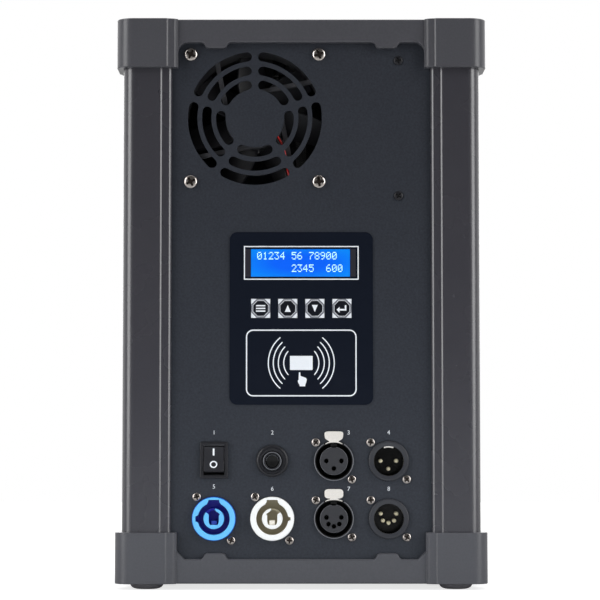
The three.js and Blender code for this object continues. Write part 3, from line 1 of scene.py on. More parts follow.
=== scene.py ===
"""Cold spark machine: the dressed model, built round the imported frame.

The control face looks along -Y, +Z is up and the origin is on the floor under the
middle. Sizes in the classes are millimetres, and the meshes are metres.
"""

import logging
import math
from dataclasses import dataclass
from enum import Enum
from typing import Callable, Optional, Sequence

import bpy
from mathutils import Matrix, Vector


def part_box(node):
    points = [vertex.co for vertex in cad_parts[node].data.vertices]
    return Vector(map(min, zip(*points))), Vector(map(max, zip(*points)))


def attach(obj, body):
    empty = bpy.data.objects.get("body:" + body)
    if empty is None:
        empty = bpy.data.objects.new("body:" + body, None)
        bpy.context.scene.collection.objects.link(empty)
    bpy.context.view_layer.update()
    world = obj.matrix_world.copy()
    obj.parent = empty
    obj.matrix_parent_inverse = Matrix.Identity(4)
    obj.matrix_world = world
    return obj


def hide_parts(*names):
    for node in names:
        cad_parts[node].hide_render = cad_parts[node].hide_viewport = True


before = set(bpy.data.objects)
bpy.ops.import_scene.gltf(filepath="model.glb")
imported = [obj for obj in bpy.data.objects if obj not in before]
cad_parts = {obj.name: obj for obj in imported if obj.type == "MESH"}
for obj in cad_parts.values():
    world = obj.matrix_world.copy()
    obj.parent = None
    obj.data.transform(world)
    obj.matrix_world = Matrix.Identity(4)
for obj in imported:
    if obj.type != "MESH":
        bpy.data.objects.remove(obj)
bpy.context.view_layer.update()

MM = 0.001
log = logging.getLogger("spark_machine")

Point = tuple[float, float]
Outline = list[Point]
Piece = bpy.types.Object
Socket = bpy.types.NodeSocket


class Facing(Enum):
    """Which way a piece's depth runs: the axes of its two outline values and its depth."""

    INWARD = (0, 2, 1)
    UPWARD = (0, 1, 2)
    SIDEWAYS = (1, 2, 0)

    def spot(self, u: float, v: float, depth: float) -> Vector:
        """A place in metres from an outline point and a depth in millimetres."""
        place = Vector((0, 0, 0))
        for axis, value in zip(self.value, (u, v, depth)):
            place[axis] = value * MM
        return place


class Place:
    """The box of a construction node, in millimetres."""

    def __init__(self, node: str) -> None:
        """Args:
            node: the node's name.
        """
        low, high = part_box(node)
        self.low = low / MM
        self.high = high / MM
        self.middle = (self.low + self.high) / 2

    @property
    def x(self) -> float:
        """Middle of the box across."""
        return self.middle.x

    @property
    def y(self) -> float:
        """Middle of the box from front to back."""
        return self.middle.y

    @property
    def z(self) -> float:
        """Middle of the box upwards."""
        return self.middle.z

    @property
    def front(self) -> float:
        """The box's face nearest the viewer."""
        return self.low.y

    def circle(self, radius: float, sides: int = 48) -> Outline:
        """A round outline on the control face, about the box's middle."""
        return circle(self.x, self.z, radius, sides)

    def rectangle(self, width: float, height: float) -> Outline:
        """A square-cornered outline on the control face, about the box's middle."""
        return rectangle(self.x, self.z, width, height)


# Outlines: lists of points in millimetres, anticlockwise


def arc(cx: float, cy: float, radius: float, start: float, end: float, steps: int) -> Outline:
    """Points along an arc, both ends included.

    Args:
        cx, cy: the centre.
        radius: the radius.
        start, end: the end angles in degrees.
        steps: how many stretches the arc has.

    Returns:
        The points from start to end.
    """
    angles = (math.radians(start + (end - start) * i / steps) for i in range(steps + 1))
    return [(cx + radius * math.cos(a), cy + radius * math.sin(a)) for a in angles]


def circle(cx: float, cy: float, radius: float, sides: int = 48) -> Outline:
    """A round outline."""
    return arc(cx, cy, radius, 0, 360, sides)[:-1]


def rectangle(cx: float, cy: float, width: float, height: float) -> Outline:
    """A square-cornered outline."""
    x, y = width / 2, height / 2
    return [(cx - x, cy - y), (cx + x, cy - y), (cx + x, cy + y), (cx - x, cy + y)]


def rounded(cx: float, cy: float, width: float, height: float, radius: float, steps: int = 6) -> Outline:
    """A rectangle with round corners."""
    x, y = width / 2 - radius, height / 2 - radius
    corners = ((x, y), (-x, y), (-x, -y), (x, -y))
    points: Outline = []
    for turn, (dx, dy) in enumerate(corners):
        points += arc(cx + dx, cy + dy, radius, 90 * turn, 90 * turn + 90, steps)
    return points


def octagon(cx: float, cy: float, width: float, corner: float) -> Outline:
    """A square with its corners cut off."""
    return rounded(cx, cy, width, width, corner, 1)


def slot(cx: float, cy: float, width: float, length: float, steps: int = 8) -> Outline:
    """An upright slot with round ends."""
    return rounded(cx, cy, width, length, width / 2 - 0.001, steps)


def curved_slot(cx: float, cy: float, inner: float, outer: float, start: float, end: float,
                steps: int = 20, end_steps: int = 6) -> Outline:
    """A slot that follows a circle, with round ends.

    Args:
        cx, cy: the circle's centre.
        inner, outer: the slot's radii.
        start, end: the angles where its straight sides end.
        steps: stretches along each side.
        end_steps: stretches round each end.

    Returns:
        The slot's outline.
    """
    middle, radius = (inner + outer) / 2, (outer - inner) / 2
    far = arc(cx, cy, middle, end, end, 1)[0]
    near = arc(cx, cy, middle, start, start, 1)[0]
    return (arc(cx, cy, outer, start, end, steps)
            + arc(*far, radius, end, end + 180, end_steps)[1:-1]
            + arc(cx, cy, inner, end, start, steps)
            + arc(*near, radius, start + 180, start + 360, end_steps)[1:-1])


def quarter_turned(points: Outline, turns: int) -> Outline:
    """An outline turned about the origin by a number of quarter turns."""
    for _ in range(turns % 4):
        points = [(-y, x) for x, y in points]
    return points


def all_round(corner: Outline) -> Outline:
    """One corner's points repeated round all four corners."""
    return [point for turns in range(4) for point in quarter_turned(corner, turns)]


# Modelling steps, as done by hand in edit mode


def active(piece: Piece) -> Piece:
    """Selects a piece alone and makes it active."""
    bpy.ops.object.select_all(action="DESELECT")
    piece.select_set(True)
    bpy.context.view_layer.objects.active = piece
    return piece


def named(piece: Piece, name: str) -> Piece:
    """Names a piece and its mesh."""
    piece.name = name
    piece.data.name = name
    return piece


def trace(name: str, points: Sequence[Vector]) -> Piece:
    """Draws a chain of edges by extruding a vertex from place to place.

    Args:
        name: the new object's name.
        points: the places in metres.

    Returns:
        The object, left in edit mode with everything selected.
    """
    bpy.ops.object.select_all(action="DESELECT")
    bpy.ops.mesh.primitive_plane_add(size=MM)
    piece = named(bpy.context.active_object, name)
    bpy.ops.object.mode_set(mode="EDIT")
    bpy.ops.mesh.merge(type="CENTER")
    bpy.ops.transform.translate(value=points[0])
    for start, end in zip(points, points[1:]):
        bpy.ops.mesh.extrude_region_move(TRANSFORM_OT_translate={"value": end - start})
    bpy.ops.mesh.select_all(action="SELECT")
    return piece


def closed_up(piece: Piece) -> Piece:
    """Merges doubles, turns the faces outwards and leaves edit mode."""
    bpy.ops.mesh.select_all(action="SELECT")
    bpy.ops.mesh.remove_doubles(threshold=1e-6)
    bpy.ops.mesh.normals_make_consistent(inside=False)
    bpy.ops.object.mode_set(mode="OBJECT")
    return piece


def prism(name: str, facing: Facing, outline: Outline, low: float, high: float) -> Piece:
    """Fills an outline and extrudes it from one depth to another."""
    piece = trace(name, [facing.spot(u, v, low) for u, v in outline])
    bpy.ops.mesh.edge_face_add()
    bpy.ops.mesh.extrude_region_move(TRANSFORM_OT_translate={"value": facing.spot(0, 0, high - low)})
    return closed_up(piece)


def turned(name: str, facing: Facing, centre: Point, profile: Outline, sides: int = 64) -> Piece:
    """Spins a profile of radius and depth about an axis along the facing's depth.

    Args:
        name: the new object's name.
        facing: the way the axis runs.
        centre: where the axis stands, in the facing's outline.
        profile: points of radius and depth; it starts and ends on the axis or closes.
        sides: the number of steps round.

    Returns:
        The turned piece.
    """
    piece = trace(name, [facing.spot(centre[0] + r, centre[1], depth) for r, depth in profile])
    axis = facing.spot(0, 0, 1).normalized()
    bpy.ops.mesh.spin(steps=sides, angle=math.tau, center=facing.spot(*centre, 0), axis=axis)
    return closed_up(piece)


def joined(name: str, pieces: Sequence[Piece]) -> Piece:
    """Joins pieces into one object, without merging them."""
    active(pieces[0])
    for piece in pieces[1:]:
        piece.select_set(True)
    if len(pieces) > 1:
        bpy.ops.object.join()
    return named(pieces[0], name)


def applied(piece: Piece, kind: str, **settings: object) -> Piece:
    """Adds a modifier with its settings and applies it."""
    modifier = active(piece).modifiers.new(kind.lower(), kind)
    for key, value in settings.items():
        setattr(modifier, key, value)
    bpy.ops.object.modifier_apply(modifier=modifier.name)
    return piece


def combined(piece: Piece, others: Sequence[Piece], operation: str) -> Piece:
    """Adds or cuts closed pieces that don't touch each other, and removes them."""
    tool = joined("tool", others)
    applied(piece, "BOOLEAN", operation=operation, solver="MANIFOLD", object=tool)
    bpy.data.objects.remove(tool)
    return piece


def carved(piece: Piece, *cutters: Piece) -> Piece:
    """Cuts pieces out of a piece."""
    return combined(piece, cutters, "DIFFERENCE")


def built_up(piece: Piece, *others: Piece) -> Piece:
    """Adds pieces to a piece, one after another."""
    for other in others:
        combined(piece, [other], "UNION")
    return piece


# Turned pieces keep the edges sharp that are sharper than this, in degrees
TURNED_ANGLE = 35


def smoothed(piece: Piece, angle: float = 38) -> Piece:
    """Shades a piece smooth, but for the edges sharper than an angle in degrees."""
    active(piece)
    bpy.ops.object.shade_smooth_by_angle(angle=math.radians(angle))
    return piece


def softened(piece: Piece, width: float, segments: int = 2, angle: float = 38) -> Piece:
    """Rounds the edges that are sharper than an angle and smooths the rest.

    Args:
        piece: the piece.
        width: the bevel's width in millimetres.
        segments: the steps of the bevel.
        angle: the least angle of an edge that is rounded, in degrees.

    Returns:
        The piece.
    """
    applied(piece, "BEVEL", width=width * MM, segments=segments, limit_method="ANGLE",
            angle_limit=math.radians(angle), harden_normals=False, use_clamp_overlap=True)
    return smoothed(piece, angle)


def bevelled(piece: Piece, chosen: Callable[[Vector], bool], width: float, segments: int = 2) -> Piece:
    """Rounds the edges whose middles are chosen.

    Args:
        piece: the piece.
        chosen: tells from an edge's middle, in millimetres, whether it is rounded.
        width: the width in millimetres.
        segments: the steps of the bevel.

    Returns:
        The piece.
    """
    active(piece)
    bpy.ops.object.mode_set(mode="EDIT")
    bpy.ops.mesh.select_mode(type="EDGE")
    bpy.ops.mesh.select_all(action="DESELECT")
    bpy.ops.object.mode_set(mode="OBJECT")
    spots = [vertex.co for vertex in piece.data.vertices]
    for edge in piece.data.edges:
        edge.select = chosen((spots[edge.vertices[0]] + spots[edge.vertices[1]]) / (2 * MM))
    bpy.ops.object.mode_set(mode="EDIT")
    bpy.ops.mesh.bevel(offset=width * MM, segments=segments, affect="EDGES")
    bpy.ops.mesh.select_mode(type="VERT")
    bpy.ops.object.mode_set(mode="OBJECT")
    return piece


def copied(piece: Piece, name: str) -> Piece:
    """A copy with its own mesh."""
    active(piece)
    bpy.ops.object.duplicate(linked=False)
    return named(bpy.context.active_object, name)


def spun(piece: Piece, degrees: float, axis: str, centre: Sequence[float] = (0, 0, 0)) -> Piece:
    """Turns a piece's mesh about an axis through a centre given in metres."""
    active(piece)
    bpy.ops.object.mode_set(mode="EDIT")
    bpy.ops.mesh.select_all(action="SELECT")
    bpy.ops.transform.rotate(value=-math.radians(degrees), orient_axis=axis, center_override=centre)
    bpy.ops.object.mode_set(mode="OBJECT")
    return piece


def plate(name: str, facing: Facing, outline: Outline, low: float, high: float,
          holes: Sequence[Outline], edge: float = 0.25) -> Piece:
    """A flat piece with holes right through it and slightly rounded edges."""
    piece = prism(name, facing, outline, low, high)
    if holes:
        carved(piece, *[prism("hole", facing, hole, low - 1, high + 1) for hole in holes])
    return softened(piece, edge)


# Finishes


def linear(colour: Sequence[float], gain: float = 1.0) -> tuple[float, float, float, float]:
    """A linear colour with alpha from an sRGB colour of 0 to 255.

    Args:
        colour: red, green and blue.
        gain: what the linear colour is multiplied by.

    Returns:
        Red, green, blue and alpha.
    """
    parts = [c / 255 for c in colour]
    light = [c / 12.92 if c <= 0.04045 else ((c + 0.055) / 1.055) ** 2.4 for c in parts]
    return (*[min(1.0, c * gain) for c in light], 1.0)


def wired(tree: bpy.types.NodeTree, socket: Socket, value: object) -> None:
    """Links another node's output to a socket, or sets the socket to a plain value."""
    if isinstance(value, Socket):
        tree.links.new(value, socket)
    else:
        socket.default_value = value


def maths(tree: bpy.types.NodeTree, operation: str, first: Socket, second: object) -> Socket:
    """The output of a new Math node for two outputs, or for an output and a number."""
    node = tree.nodes.new("ShaderNodeMath")
    node.operation = operation
    wired(tree, node.inputs[0], first)
    wired(tree, node.inputs[1], second)
    return node.outputs[0]


class Nodes:
    """Adds nodes to a material and links them."""

    def __init__(self, name: str) -> None:
        """Args:
            name: the new material's name.
        """
        self.material = bpy.data.materials.new(name)
        self.material.use_nodes = True
        self.tree = self.material.node_tree
        self.shader = self.tree.nodes["Principled BSDF"]
        self.place = self.add("ShaderNodeTexCoord").outputs["Object"]

    def add(self, kind: str, **inputs: object) -> bpy.types.Node:
        """Adds a node; each input is a value or another node's output."""
        node = self.tree.nodes.new(kind)
        for key, value in inputs.items():
            wired(self.tree, node.inputs[key.replace("_", " ")], value)
        return node

    def feed(self, **inputs: object) -> None:
        """Gives some of the shader's sockets an output or a plain value."""
        for key, value in inputs.items():
            wired(self.tree, self.shader.inputs[key.replace("_", " ")], value)

    def noise(self, size: float, place: Socket, detail: float = 2) -> Socket:
        """Noise whose spots are about a size in millimetres."""
        node = self.add("ShaderNodeTexNoise", Vector=place, Scale=1 / (size * MM), Detail=detail)
        return node.outputs["Fac"]

    def spread(self, value: Socket, low: float, high: float) -> Socket:
        """Maps the middle of a noise to a range."""
        node = self.add("ShaderNodeMapRange", Value=value, From_Min=0.3, From_Max=0.7,
                        To_Min=low, To_Max=high)
        return node.outputs["Result"]

    def mixed(self, factor: Socket, first: Sequence[float], second: Sequence[float]) -> Socket:
        """Two colours mixed by a factor."""
        node = self.tree.nodes.new("ShaderNodeMix")
        node.data_type = "RGBA"
        self.tree.links.new(factor, node.inputs["Factor"])
        colours = [socket for socket in node.inputs if socket.type == "RGBA"]
        for socket, colour in zip(colours, (first, second)):
            socket.default_value = colour
        return next(socket for socket in node.outputs if socket.type == "RGBA")


@dataclass(frozen=True)
class Finish:
    """A surface whose colour varies a little, with a fine relief and a gloss that drifts.

    Colours are sRGB from 0 to 255. Grain is the size of the relief's spots, relief its
    height, and drift the size of the slow changes in gloss, all in millimetres. Gleam is
    the specular level, and entry is the record's slot, where it has another name.
    """

    name: str
    colour: tuple[int, int, int]
    roughness: float = 0.5
    metallic: float = 0.0
    entry: Optional[str] = None
    grain: float = 0.6
    relief: float = 0.004
    mottle: float = 0.05
    swing: float = 0.025
    drift: float = 25
    stretch: tuple[float, float, float] = (1, 1, 1)
    gleam: float = 0.5
    glow: float = 0.0

    @property
    def slot(self) -> str:
        """The record's slot."""
        return self.entry or self.name

    def material(self) -> bpy.types.Material:
        """The finish's material, made once."""
        return bpy.data.materials.get(f"finish_{self.name}") or self.made()

    def made(self) -> bpy.types.Material:
        """Builds the material's nodes."""
        nodes = Nodes(f"finish_{self.name}")
        grain_place = nodes.add("ShaderNodeMapping", Vector=nodes.place, Scale=self.stretch).outputs["Vector"]
        fine = nodes.noise(self.grain, grain_place, 3)
        slow = nodes.noise(self.drift, nodes.place, 2)
        tint = nodes.mixed(nodes.spread(fine, 0, 1), linear(self.colour, 1 - self.mottle),
                           linear(self.colour, 1 + self.mottle))
        bump = nodes.add("ShaderNodeBump", Height=fine, Strength=1.0, Distance=self.relief * MM)
        nodes.feed(Base_Color=tint, Metallic=self.metallic, Specular_IOR_Level=self.gleam,
                   Roughness=nodes.spread(slow, self.roughness - self.swing, self.roughness + self.swing),
                   Normal=bump.outputs["Normal"])
        if self.glow:
            nodes.feed(Emission_Color=tint, Emission_Strength=self.glow)
        return nodes.material


@dataclass(frozen=True)
class Plastic(Finish):
    """A dark moulded plastic; some finishes of this kind are painted shade or painted highlights instead."""

    entry: Optional[str] = "satin_black"


@dataclass(frozen=True)
class SocketPlastic(Finish):
    """The coloured plastic of a power socket, also used for its painted shade and painted glow."""

    grain: float = 0.8


@dataclass(frozen=True)
class Print(Finish):
    """Flat ink on the film or the panel."""

    entry: Optional[str] = "outlet_white"
    grain: float = 0.5
    relief: float = 0.002
    mottle: float = 0.03


@dataclass(frozen=True)
class Backlight(Finish):
    """A display window lit from behind, brighter towards its edges."""

    edge: tuple[int, int, int] = (5, 139, 248)
    centre: Point = (0, 0)
    half: Point = (27, 7.5)

    def made(self) -> bpy.types.Material:
        """Builds the window's nodes."""
        nodes = Nodes(f"finish_{self.name}")
        x, z = self.centre
        wide, high = self.half
        inside = nodes.add("ShaderNodeMapping", Vector=nodes.place, Location=(-x / wide, 0, -z / high),
                           Scale=(1 / (wide * MM), 0, 1 / (high * MM)))
        reach = nodes.add("ShaderNodeVectorMath", Vector=inside.outputs["Vector"])
        reach.operation = "LENGTH"
        glow = nodes.add("ShaderNodeMapRange", Value=reach.outputs["Value"], From_Min=0.55, From_Max=1.25)
        tint = nodes.mixed(glow.outputs["Result"], linear(self.colour), linear(self.edge))
        haze = nodes.spread(nodes.noise(self.drift, nodes.place), self.roughness, self.roughness + self.swing)
        nodes.feed(Base_Color=tint, Emission_Color=tint, Emission_Strength=self.glow, Roughness=haze)
        return nodes.material


# Coats and mouldings of the case
POWDER = Finish("powder_coat", (49, 52, 59), 0.4, grain=1.1, relief=0.03, mottle=0.17, gleam=0.3)
POST = Finish("post_coat", (60, 59, 65), 0.27, mottle=0.06, gleam=1.0)
MOULDING = Finish("frame_moulding", (79, 79, 84), 0.3, grain=1.0, relief=0.006, mottle=0.07)
# Painted light: a paler grey than the black rubber, to make up for the shade the feet sit in under the
# blocks.
RUBBER_PAINTED_LIGHT = Finish("foot_rubber", (118, 114, 118), grain=1.2, relief=0.01, mottle=0.07)

# Film, keys, display and prints
FILM = Finish("film_ink", (19, 24, 35), 0.24, grain=0.4, relief=0.002, gleam=0.3)
FILM_WHITE = Print("film_print", (240, 243, 248), mottle=0.02)
MASK = Print("window_mask", (40, 39, 48), 0.4, entry="film_ink", relief=0.003, mottle=0.05)
KEY_BLACK = Finish("key_ink", (20, 22, 30), 0.3, grain=0.4, mottle=0.04, gleam=0.35)
RING_GREY = Print("key_ring", (92, 94, 106), entry="key_ink")
BAND_GREY = Print("key_band", (70, 72, 84), entry="key_ink")
LABEL = Print("label_print", (226, 228, 232))
DIGITS = Print("display_digits", (170, 220, 255), 0.4, entry="display_blue", grain=0.4, relief=0.001,
               glow=0.9)

# Dark plastics, and painted shade and painted highlights laid on dark plastic faces
BLACK = Plastic("satin_black", (35, 35, 39), 0.34, relief=0.003, mottle=0.06, gleam=0.4)
GLOSS_BLACK = Plastic("gloss_black", (10, 10, 11), 0.42, relief=0.002)
PADDLE = Plastic("paddle_black", (43, 43, 47), 0.36, relief=0.003, mottle=0.08, gleam=0.4)
SHELL_GREY = Plastic("shell_grey", (54, 55, 60), 0.32)
INSERT_GREY = Plastic("insert_grey", (50, 50, 54), 0.55, relief=0.008, mottle=0.06)
# Painted highlight: a light grey laid on rims and edges where they catch the light.
PAINTED_HIGHLIGHT_GREY = Plastic("rim_painted_highlight", (108, 109, 114), 0.3)
# Painted shade: near black laid on gaps, bores and recesses where shade falls.
SHADE_BLACK = Plastic("gap_painted_shade", (6, 6, 7), 0.6, relief=0.003)
# The insulator's own black, also laid on the cup's inner wall as painted shade.
CUP_BLACK_AND_SHADE = Plastic("cup_black_and_shade", (12, 12, 12), 0.22, relief=0.002)
FAN_BLACK = Plastic("fan_black", (66, 66, 70), grain=0.7, relief=0.008, mottle=0.06)
BLADE_BLACK = Plastic("blade_black", (46, 46, 50), 0.4, grain=0.7, relief=0.006, mottle=0.06)
LEAD_BLACK = Plastic("lead_black", (18, 18, 19), 0.4, grain=0.8, relief=0.003, mottle=0.06)
LEAD_RED = Finish("lead_red", (196, 30, 28), 0.4, grain=0.8, relief=0.003, mottle=0.06)

# Power sockets, and painted shade and painted glow for their cavities, steps and the blue ring's edge
BLUE = SocketPlastic("inlet_blue", (104, 196, 253), 0.3, mottle=0.03)
# Painted shade with a painted glow: a deep, self-lit blue for the walls and floor of the blue socket's
# cavity.
BLUE_PAINTED_SHADE = SocketPlastic("inlet_painted_shade", (8, 14, 160), 0.4, entry="inlet_blue", glow=0.07)
# Painted shade: a darker blue for the outer side of the blue socket's ring.
BLUE_EDGE_SHADE = SocketPlastic("inlet_edge_shade", (14, 96, 214), 0.35, entry="inlet_blue", mottle=0.04)
# Painted shade: a darker blue for the step in the blue socket's pocket.
BLUE_STEP_SHADE = SocketPlastic("inlet_step_shade", (34, 66, 170), entry="inlet_blue", mottle=0.1)
WHITE = SocketPlastic("outlet_white", (252, 252, 250), 0.34, mottle=0.02)
# Painted shade with a painted glow: a dim, self-lit olive for the walls and floor of the white socket's
# cavity.
WHITE_PAINTED_SHADE = SocketPlastic("outlet_painted_shade", (146, 138, 114), entry="outlet_white", glow=0.16)
# Painted glow on the step in the white socket's pocket.
WHITE_STEP_GLOW = SocketPlastic("outlet_step_glow", (244, 238, 226), entry="outlet_white", glow=0.2)

# Metals and the pieces inside
NICKEL = Finish("latch_nickel", (242, 236, 228), 0.42, 0.25, grain=0.5, relief=0.002)
GOLD = Finish("contact_gold", (255, 240, 204), 0.28, 0.45, grain=0.5, relief=0.001, mottle=0.06)
ZINC = Finish("zinc_steel", (196, 190, 184), 0.26, 1, relief=0.003, mottle=0.1)
# Painted shade: a dark brown laid in the cross recesses of the bright screws.
RECESS_SHADE = Finish("screw_recess_shade", (58, 50, 46), 0.5, 0.6, entry="zinc_steel", grain=0.4, mottle=0.1)
BRIGHT_SCREW = Finish("screw_nickel", (214, 206, 200), 0.28, 1, entry="zinc_steel", grain=0.5, mottle=0.08)
SHEET_ZINC = Finish("sheet_zinc", (178, 180, 184), 0.42, 1, entry="zinc_steel", grain=2.5, mottle=0.12)
STEEL = Finish("stainless", (200, 200, 202), 0.26, 1, grain=0.5, mottle=0.06, stretch=(1, 1, 14))
RING_STEEL = Finish("ring_steel", (206, 204, 202), 0.28, 1, entry="stainless", grain=0.5, mottle=0.07)
COPPER = Finish("copper", (196, 118, 74), 0.3, 1, grain=2, mottle=0.14)
CERAMIC = Finish("ceramic_white", (226, 222, 212), 0.85, grain=1.5, relief=0.08, mottle=0.06)
BOARD = Finish("circuit_green", (26, 92, 52), 0.42, grain=1.2, relief=0.02, mottle=0.16)

# Rows of dots for the display, five to a row
FIGURES = {
    "0": "01110 10001 10011 10101 11001 10001 01110",
    "1": "00100 01100 00100 00100 00100 00100 01110",
    "2": "01110 10001 00001 00010 00100 01000 11111",
    "3": "11111 00010 00100 00010 00001 10001 01110",
    "4": "00010 00110 01010 10010 11111 00010 00010",
    "5": "11111 10000 11110 00001 00001 10001 01110",
    "6": "00110 01000 10000 11110 10001 10001 01110",
    "7": "11111 00001 00010 00100 01000 01000 01000",
    "8": "01110 10001 10001 01110 10001 10001 01110",
    "9": "01110 10001 10001 01111 00001 00010 01100",
}


def dressed(piece: Piece, finish: Finish, body: str = "case", nodes: Sequence[str] = (),
            slot_name: Optional[str] = None) -> Piece:
    """Gives a finished piece its material and its body, and hides the construction nodes that it stands for.

    Args:
        piece: the piece.
        finish: its finish.
        body: the body that it moves with.
        nodes: the construction nodes that it stands for.
        slot_name: the record's slot, where it isn't the finish's own; not used.

    Returns:
        The piece.
    """
    applied(piece, "WEIGHTED_NORMAL", keep_sharp=True)
    piece.data.materials.clear()
    piece.data.materials.append(finish.material())
    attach(piece, body)
    slot_name or finish.slot
    if nodes:
        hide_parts(*nodes)
    log.info("%s rides on %s, %d faces", piece.name, body, len(piece.data.polygons))
    return piece


def lined(piece: Piece, finish: Finish, axis: Point, chosen: Callable[[float, float, Vector], bool]) -> Piece:
    """Gives the chosen faces of a dressed piece on the control face a second finish, used here for painted
    shade and painted highlights.

    Args:
        piece: the piece.
        finish: the second finish.
        axis: where an axis stands on the control face, in millimetres.
        chosen: tells whether a face gets it, from how far the face's middle is from the
            axis, how deep it lies behind the panel's front, and the middle itself, all in
            millimetres.

    Returns:
        The piece.
    """
    piece.data.materials.append(finish.material())
    last = len(piece.data.materials) - 1
    for face in piece.data.polygons:
        middle = face.center / MM
        if chosen(math.hypot(middle.x - axis[0], middle.z - axis[1]), middle.y - FACE, middle):
            face.material_index = last
    return piece


def kept(node: str, finish: Finish) -> None:
    """Gives a construction node that stays a finish of its own."""
    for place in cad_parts[node].material_slots:
        place.material = finish.material()
    log.info("%s stays, with finish %s", node, finish.name)


# Enclosure


@dataclass
class EndFrame:
    """A moulded end frame: four corner blocks on four rails, with a rim round a plate."""

    node: str
    upside_down: bool
    block_height: float
    rail_height: float
    half: float = 103
    corner: float = 9.5
    block_inner: float = 68.7
    strip: float = 5.6
    margin: float = 0.6
    margin_drop: float = 2.7
    rail_drop: float = 3.5
    rail_inset: float = 0.1
    recess: float = 15
    pad: float = 14
    ledge: float = 6
    ledge_depth: float = 7.3
    ledge_height: float = 3
    fillet: float = 5.6
    fillet_steps: int = 8
    tab_place: float = 47.6
    tab_base: float = 15.6
    tab_tip: float = 9.5
    tab_drop: float = 3.2
    panel_face: float = 95.7
    lip_end: float = 71.9
    slope_end: float = 77.9

    def level(self, height: float) -> float:
        """A height measured from the frame's outer end, as a place along Z."""
        place = Place(self.node)
        return place.high.z - height if self.upside_down else place.low.z + height

    def slab(self, name: str, outline: Outline, low: float, high: float) -> Piece:
        """A flat solid between two heights above the outer end."""
        ends = sorted((self.level(low), self.level(high)))
        return prism(name, Facing.UPWARD, outline, *ends)

    def block_outline(self) -> Outline:
        """One corner block seen from above, for +X +Y."""
        inner, edge = self.block_inner, self.block_inner + self.margin
        low = self.half - self.margin_drop
        wide = edge + self.strip
        rim, pad = self.half - self.recess, self.half - self.recess - self.pad
        corner = self.half - self.corner
        side = [(rim, pad), (rim, inner), (low, inner), (low, edge), (low + 0.5, edge + 0.4),
                (low + 1.3, edge + 1.4), (self.half - 0.6, wide - 0.8), (self.half, wide)]
        across = [(y, x) for x, y in reversed(side)]
        return [(pad, pad), *side, *arc(corner, corner, self.corner, 0, 90, 10), *across]

    def blocks(self) -> list[Piece]:
        """The four corner blocks, their ends rounded."""
        pads = [quarter_turned(self.block_outline(), turns) for turns in range(4)]
        return [softened(self.slab("block", pad, 0, self.block_height), 1.5, 5, 60) for pad in pads]

    def cavity(self) -> Piece:
        """The space that the posts and panels fill."""
        face, lip, panel, end, start = 99.5, 96.7, self.panel_face, self.lip_end, self.slope_end
        points = [(panel, end), (lip, end), (face, start), *arc(92.3, 92.3, 7.2, 0, 90, 8), (start, face),
                  (end, lip), (end, panel)]
        return self.slab("cavity", all_round(points), self.ledge_depth + self.ledge_height, 40)

    def outlines(self) -> list[Outline]:
        """Both tabs that hold a panel and both fillets beside the blocks, from the outer end."""
        rail, half_base, half_tip = self.rail_height, self.tab_base / 2, self.tab_tip / 2
        tip = rail + self.tab_drop
        slope = [(half_base, rail), (half_base - 1.2, rail + 0.7), (half_tip + 0.9, tip - 0.6),
                 (half_tip - 0.4, tip)]
        tab = [(-half_base, rail - 1), (half_base, rail - 1), *slope, *[(-u, v) for u, v in reversed(slope)]]
        edge, top = self.block_inner, rail + self.fillet
        fillet = [*arc(edge - self.fillet, top, self.fillet, -90, 0, self.fillet_steps), (edge + 1, top),
                  (edge + 1, rail - 1), (edge - self.fillet, rail - 1)]
        tabs = [[(u + place, v) for u, v in tab] for place in (-self.tab_place, self.tab_place)]
        return [*tabs, fillet, [(-u, v) for u, v in fillet]]

    def trims(self) -> list[Piece]:
        """The tabs and fillets on all four sides."""
        face, back = -(self.half - self.rail_drop), -self.panel_face
        sign = -1 if self.upside_down else 1
        base = self.level(0)
        made = []
        for outline in self.outlines():
            piece = prism("trim", Facing.INWARD, [(u, base + sign * v) for u, v in outline], face, back)
            bevelled(piece, lambda middle: middle.y < face + 0.01 and abs(middle.x) < self.block_inner - 0.1
                     and sign * (middle.z - base) > self.rail_height + 0.2, 0.55)
            made += [piece, *[spun(copied(piece, "trim"), 90 * turns, "Z") for turns in range(1, 4)]]
        return made

    def build(self) -> None:
        """Makes the frame and dresses it."""
        outer = 2 * (self.half - self.rail_drop)
        rim = 2 * (self.half - self.recess)
        hole = rim - 2 * self.ledge
        whole = self.slab(self.node + "_moulding", rounded(0, 0, outer, outer, 1, 2), self.rail_inset,
                          self.rail_height)
        softened(whole, 1.0, 5, 60)
        carved(whole, self.slab("hole", rectangle(0, 0, hole, hole), -1, self.rail_height + 1))
        carved(whole, self.slab("recess", rectangle(0, 0, rim, rim), -1, self.ledge_depth))
        built_up(whole, *self.blocks(), *self.trims())
        carved(whole, self.cavity())
        dressed(smoothed(whole, 21), MOULDING, nodes=[self.node])


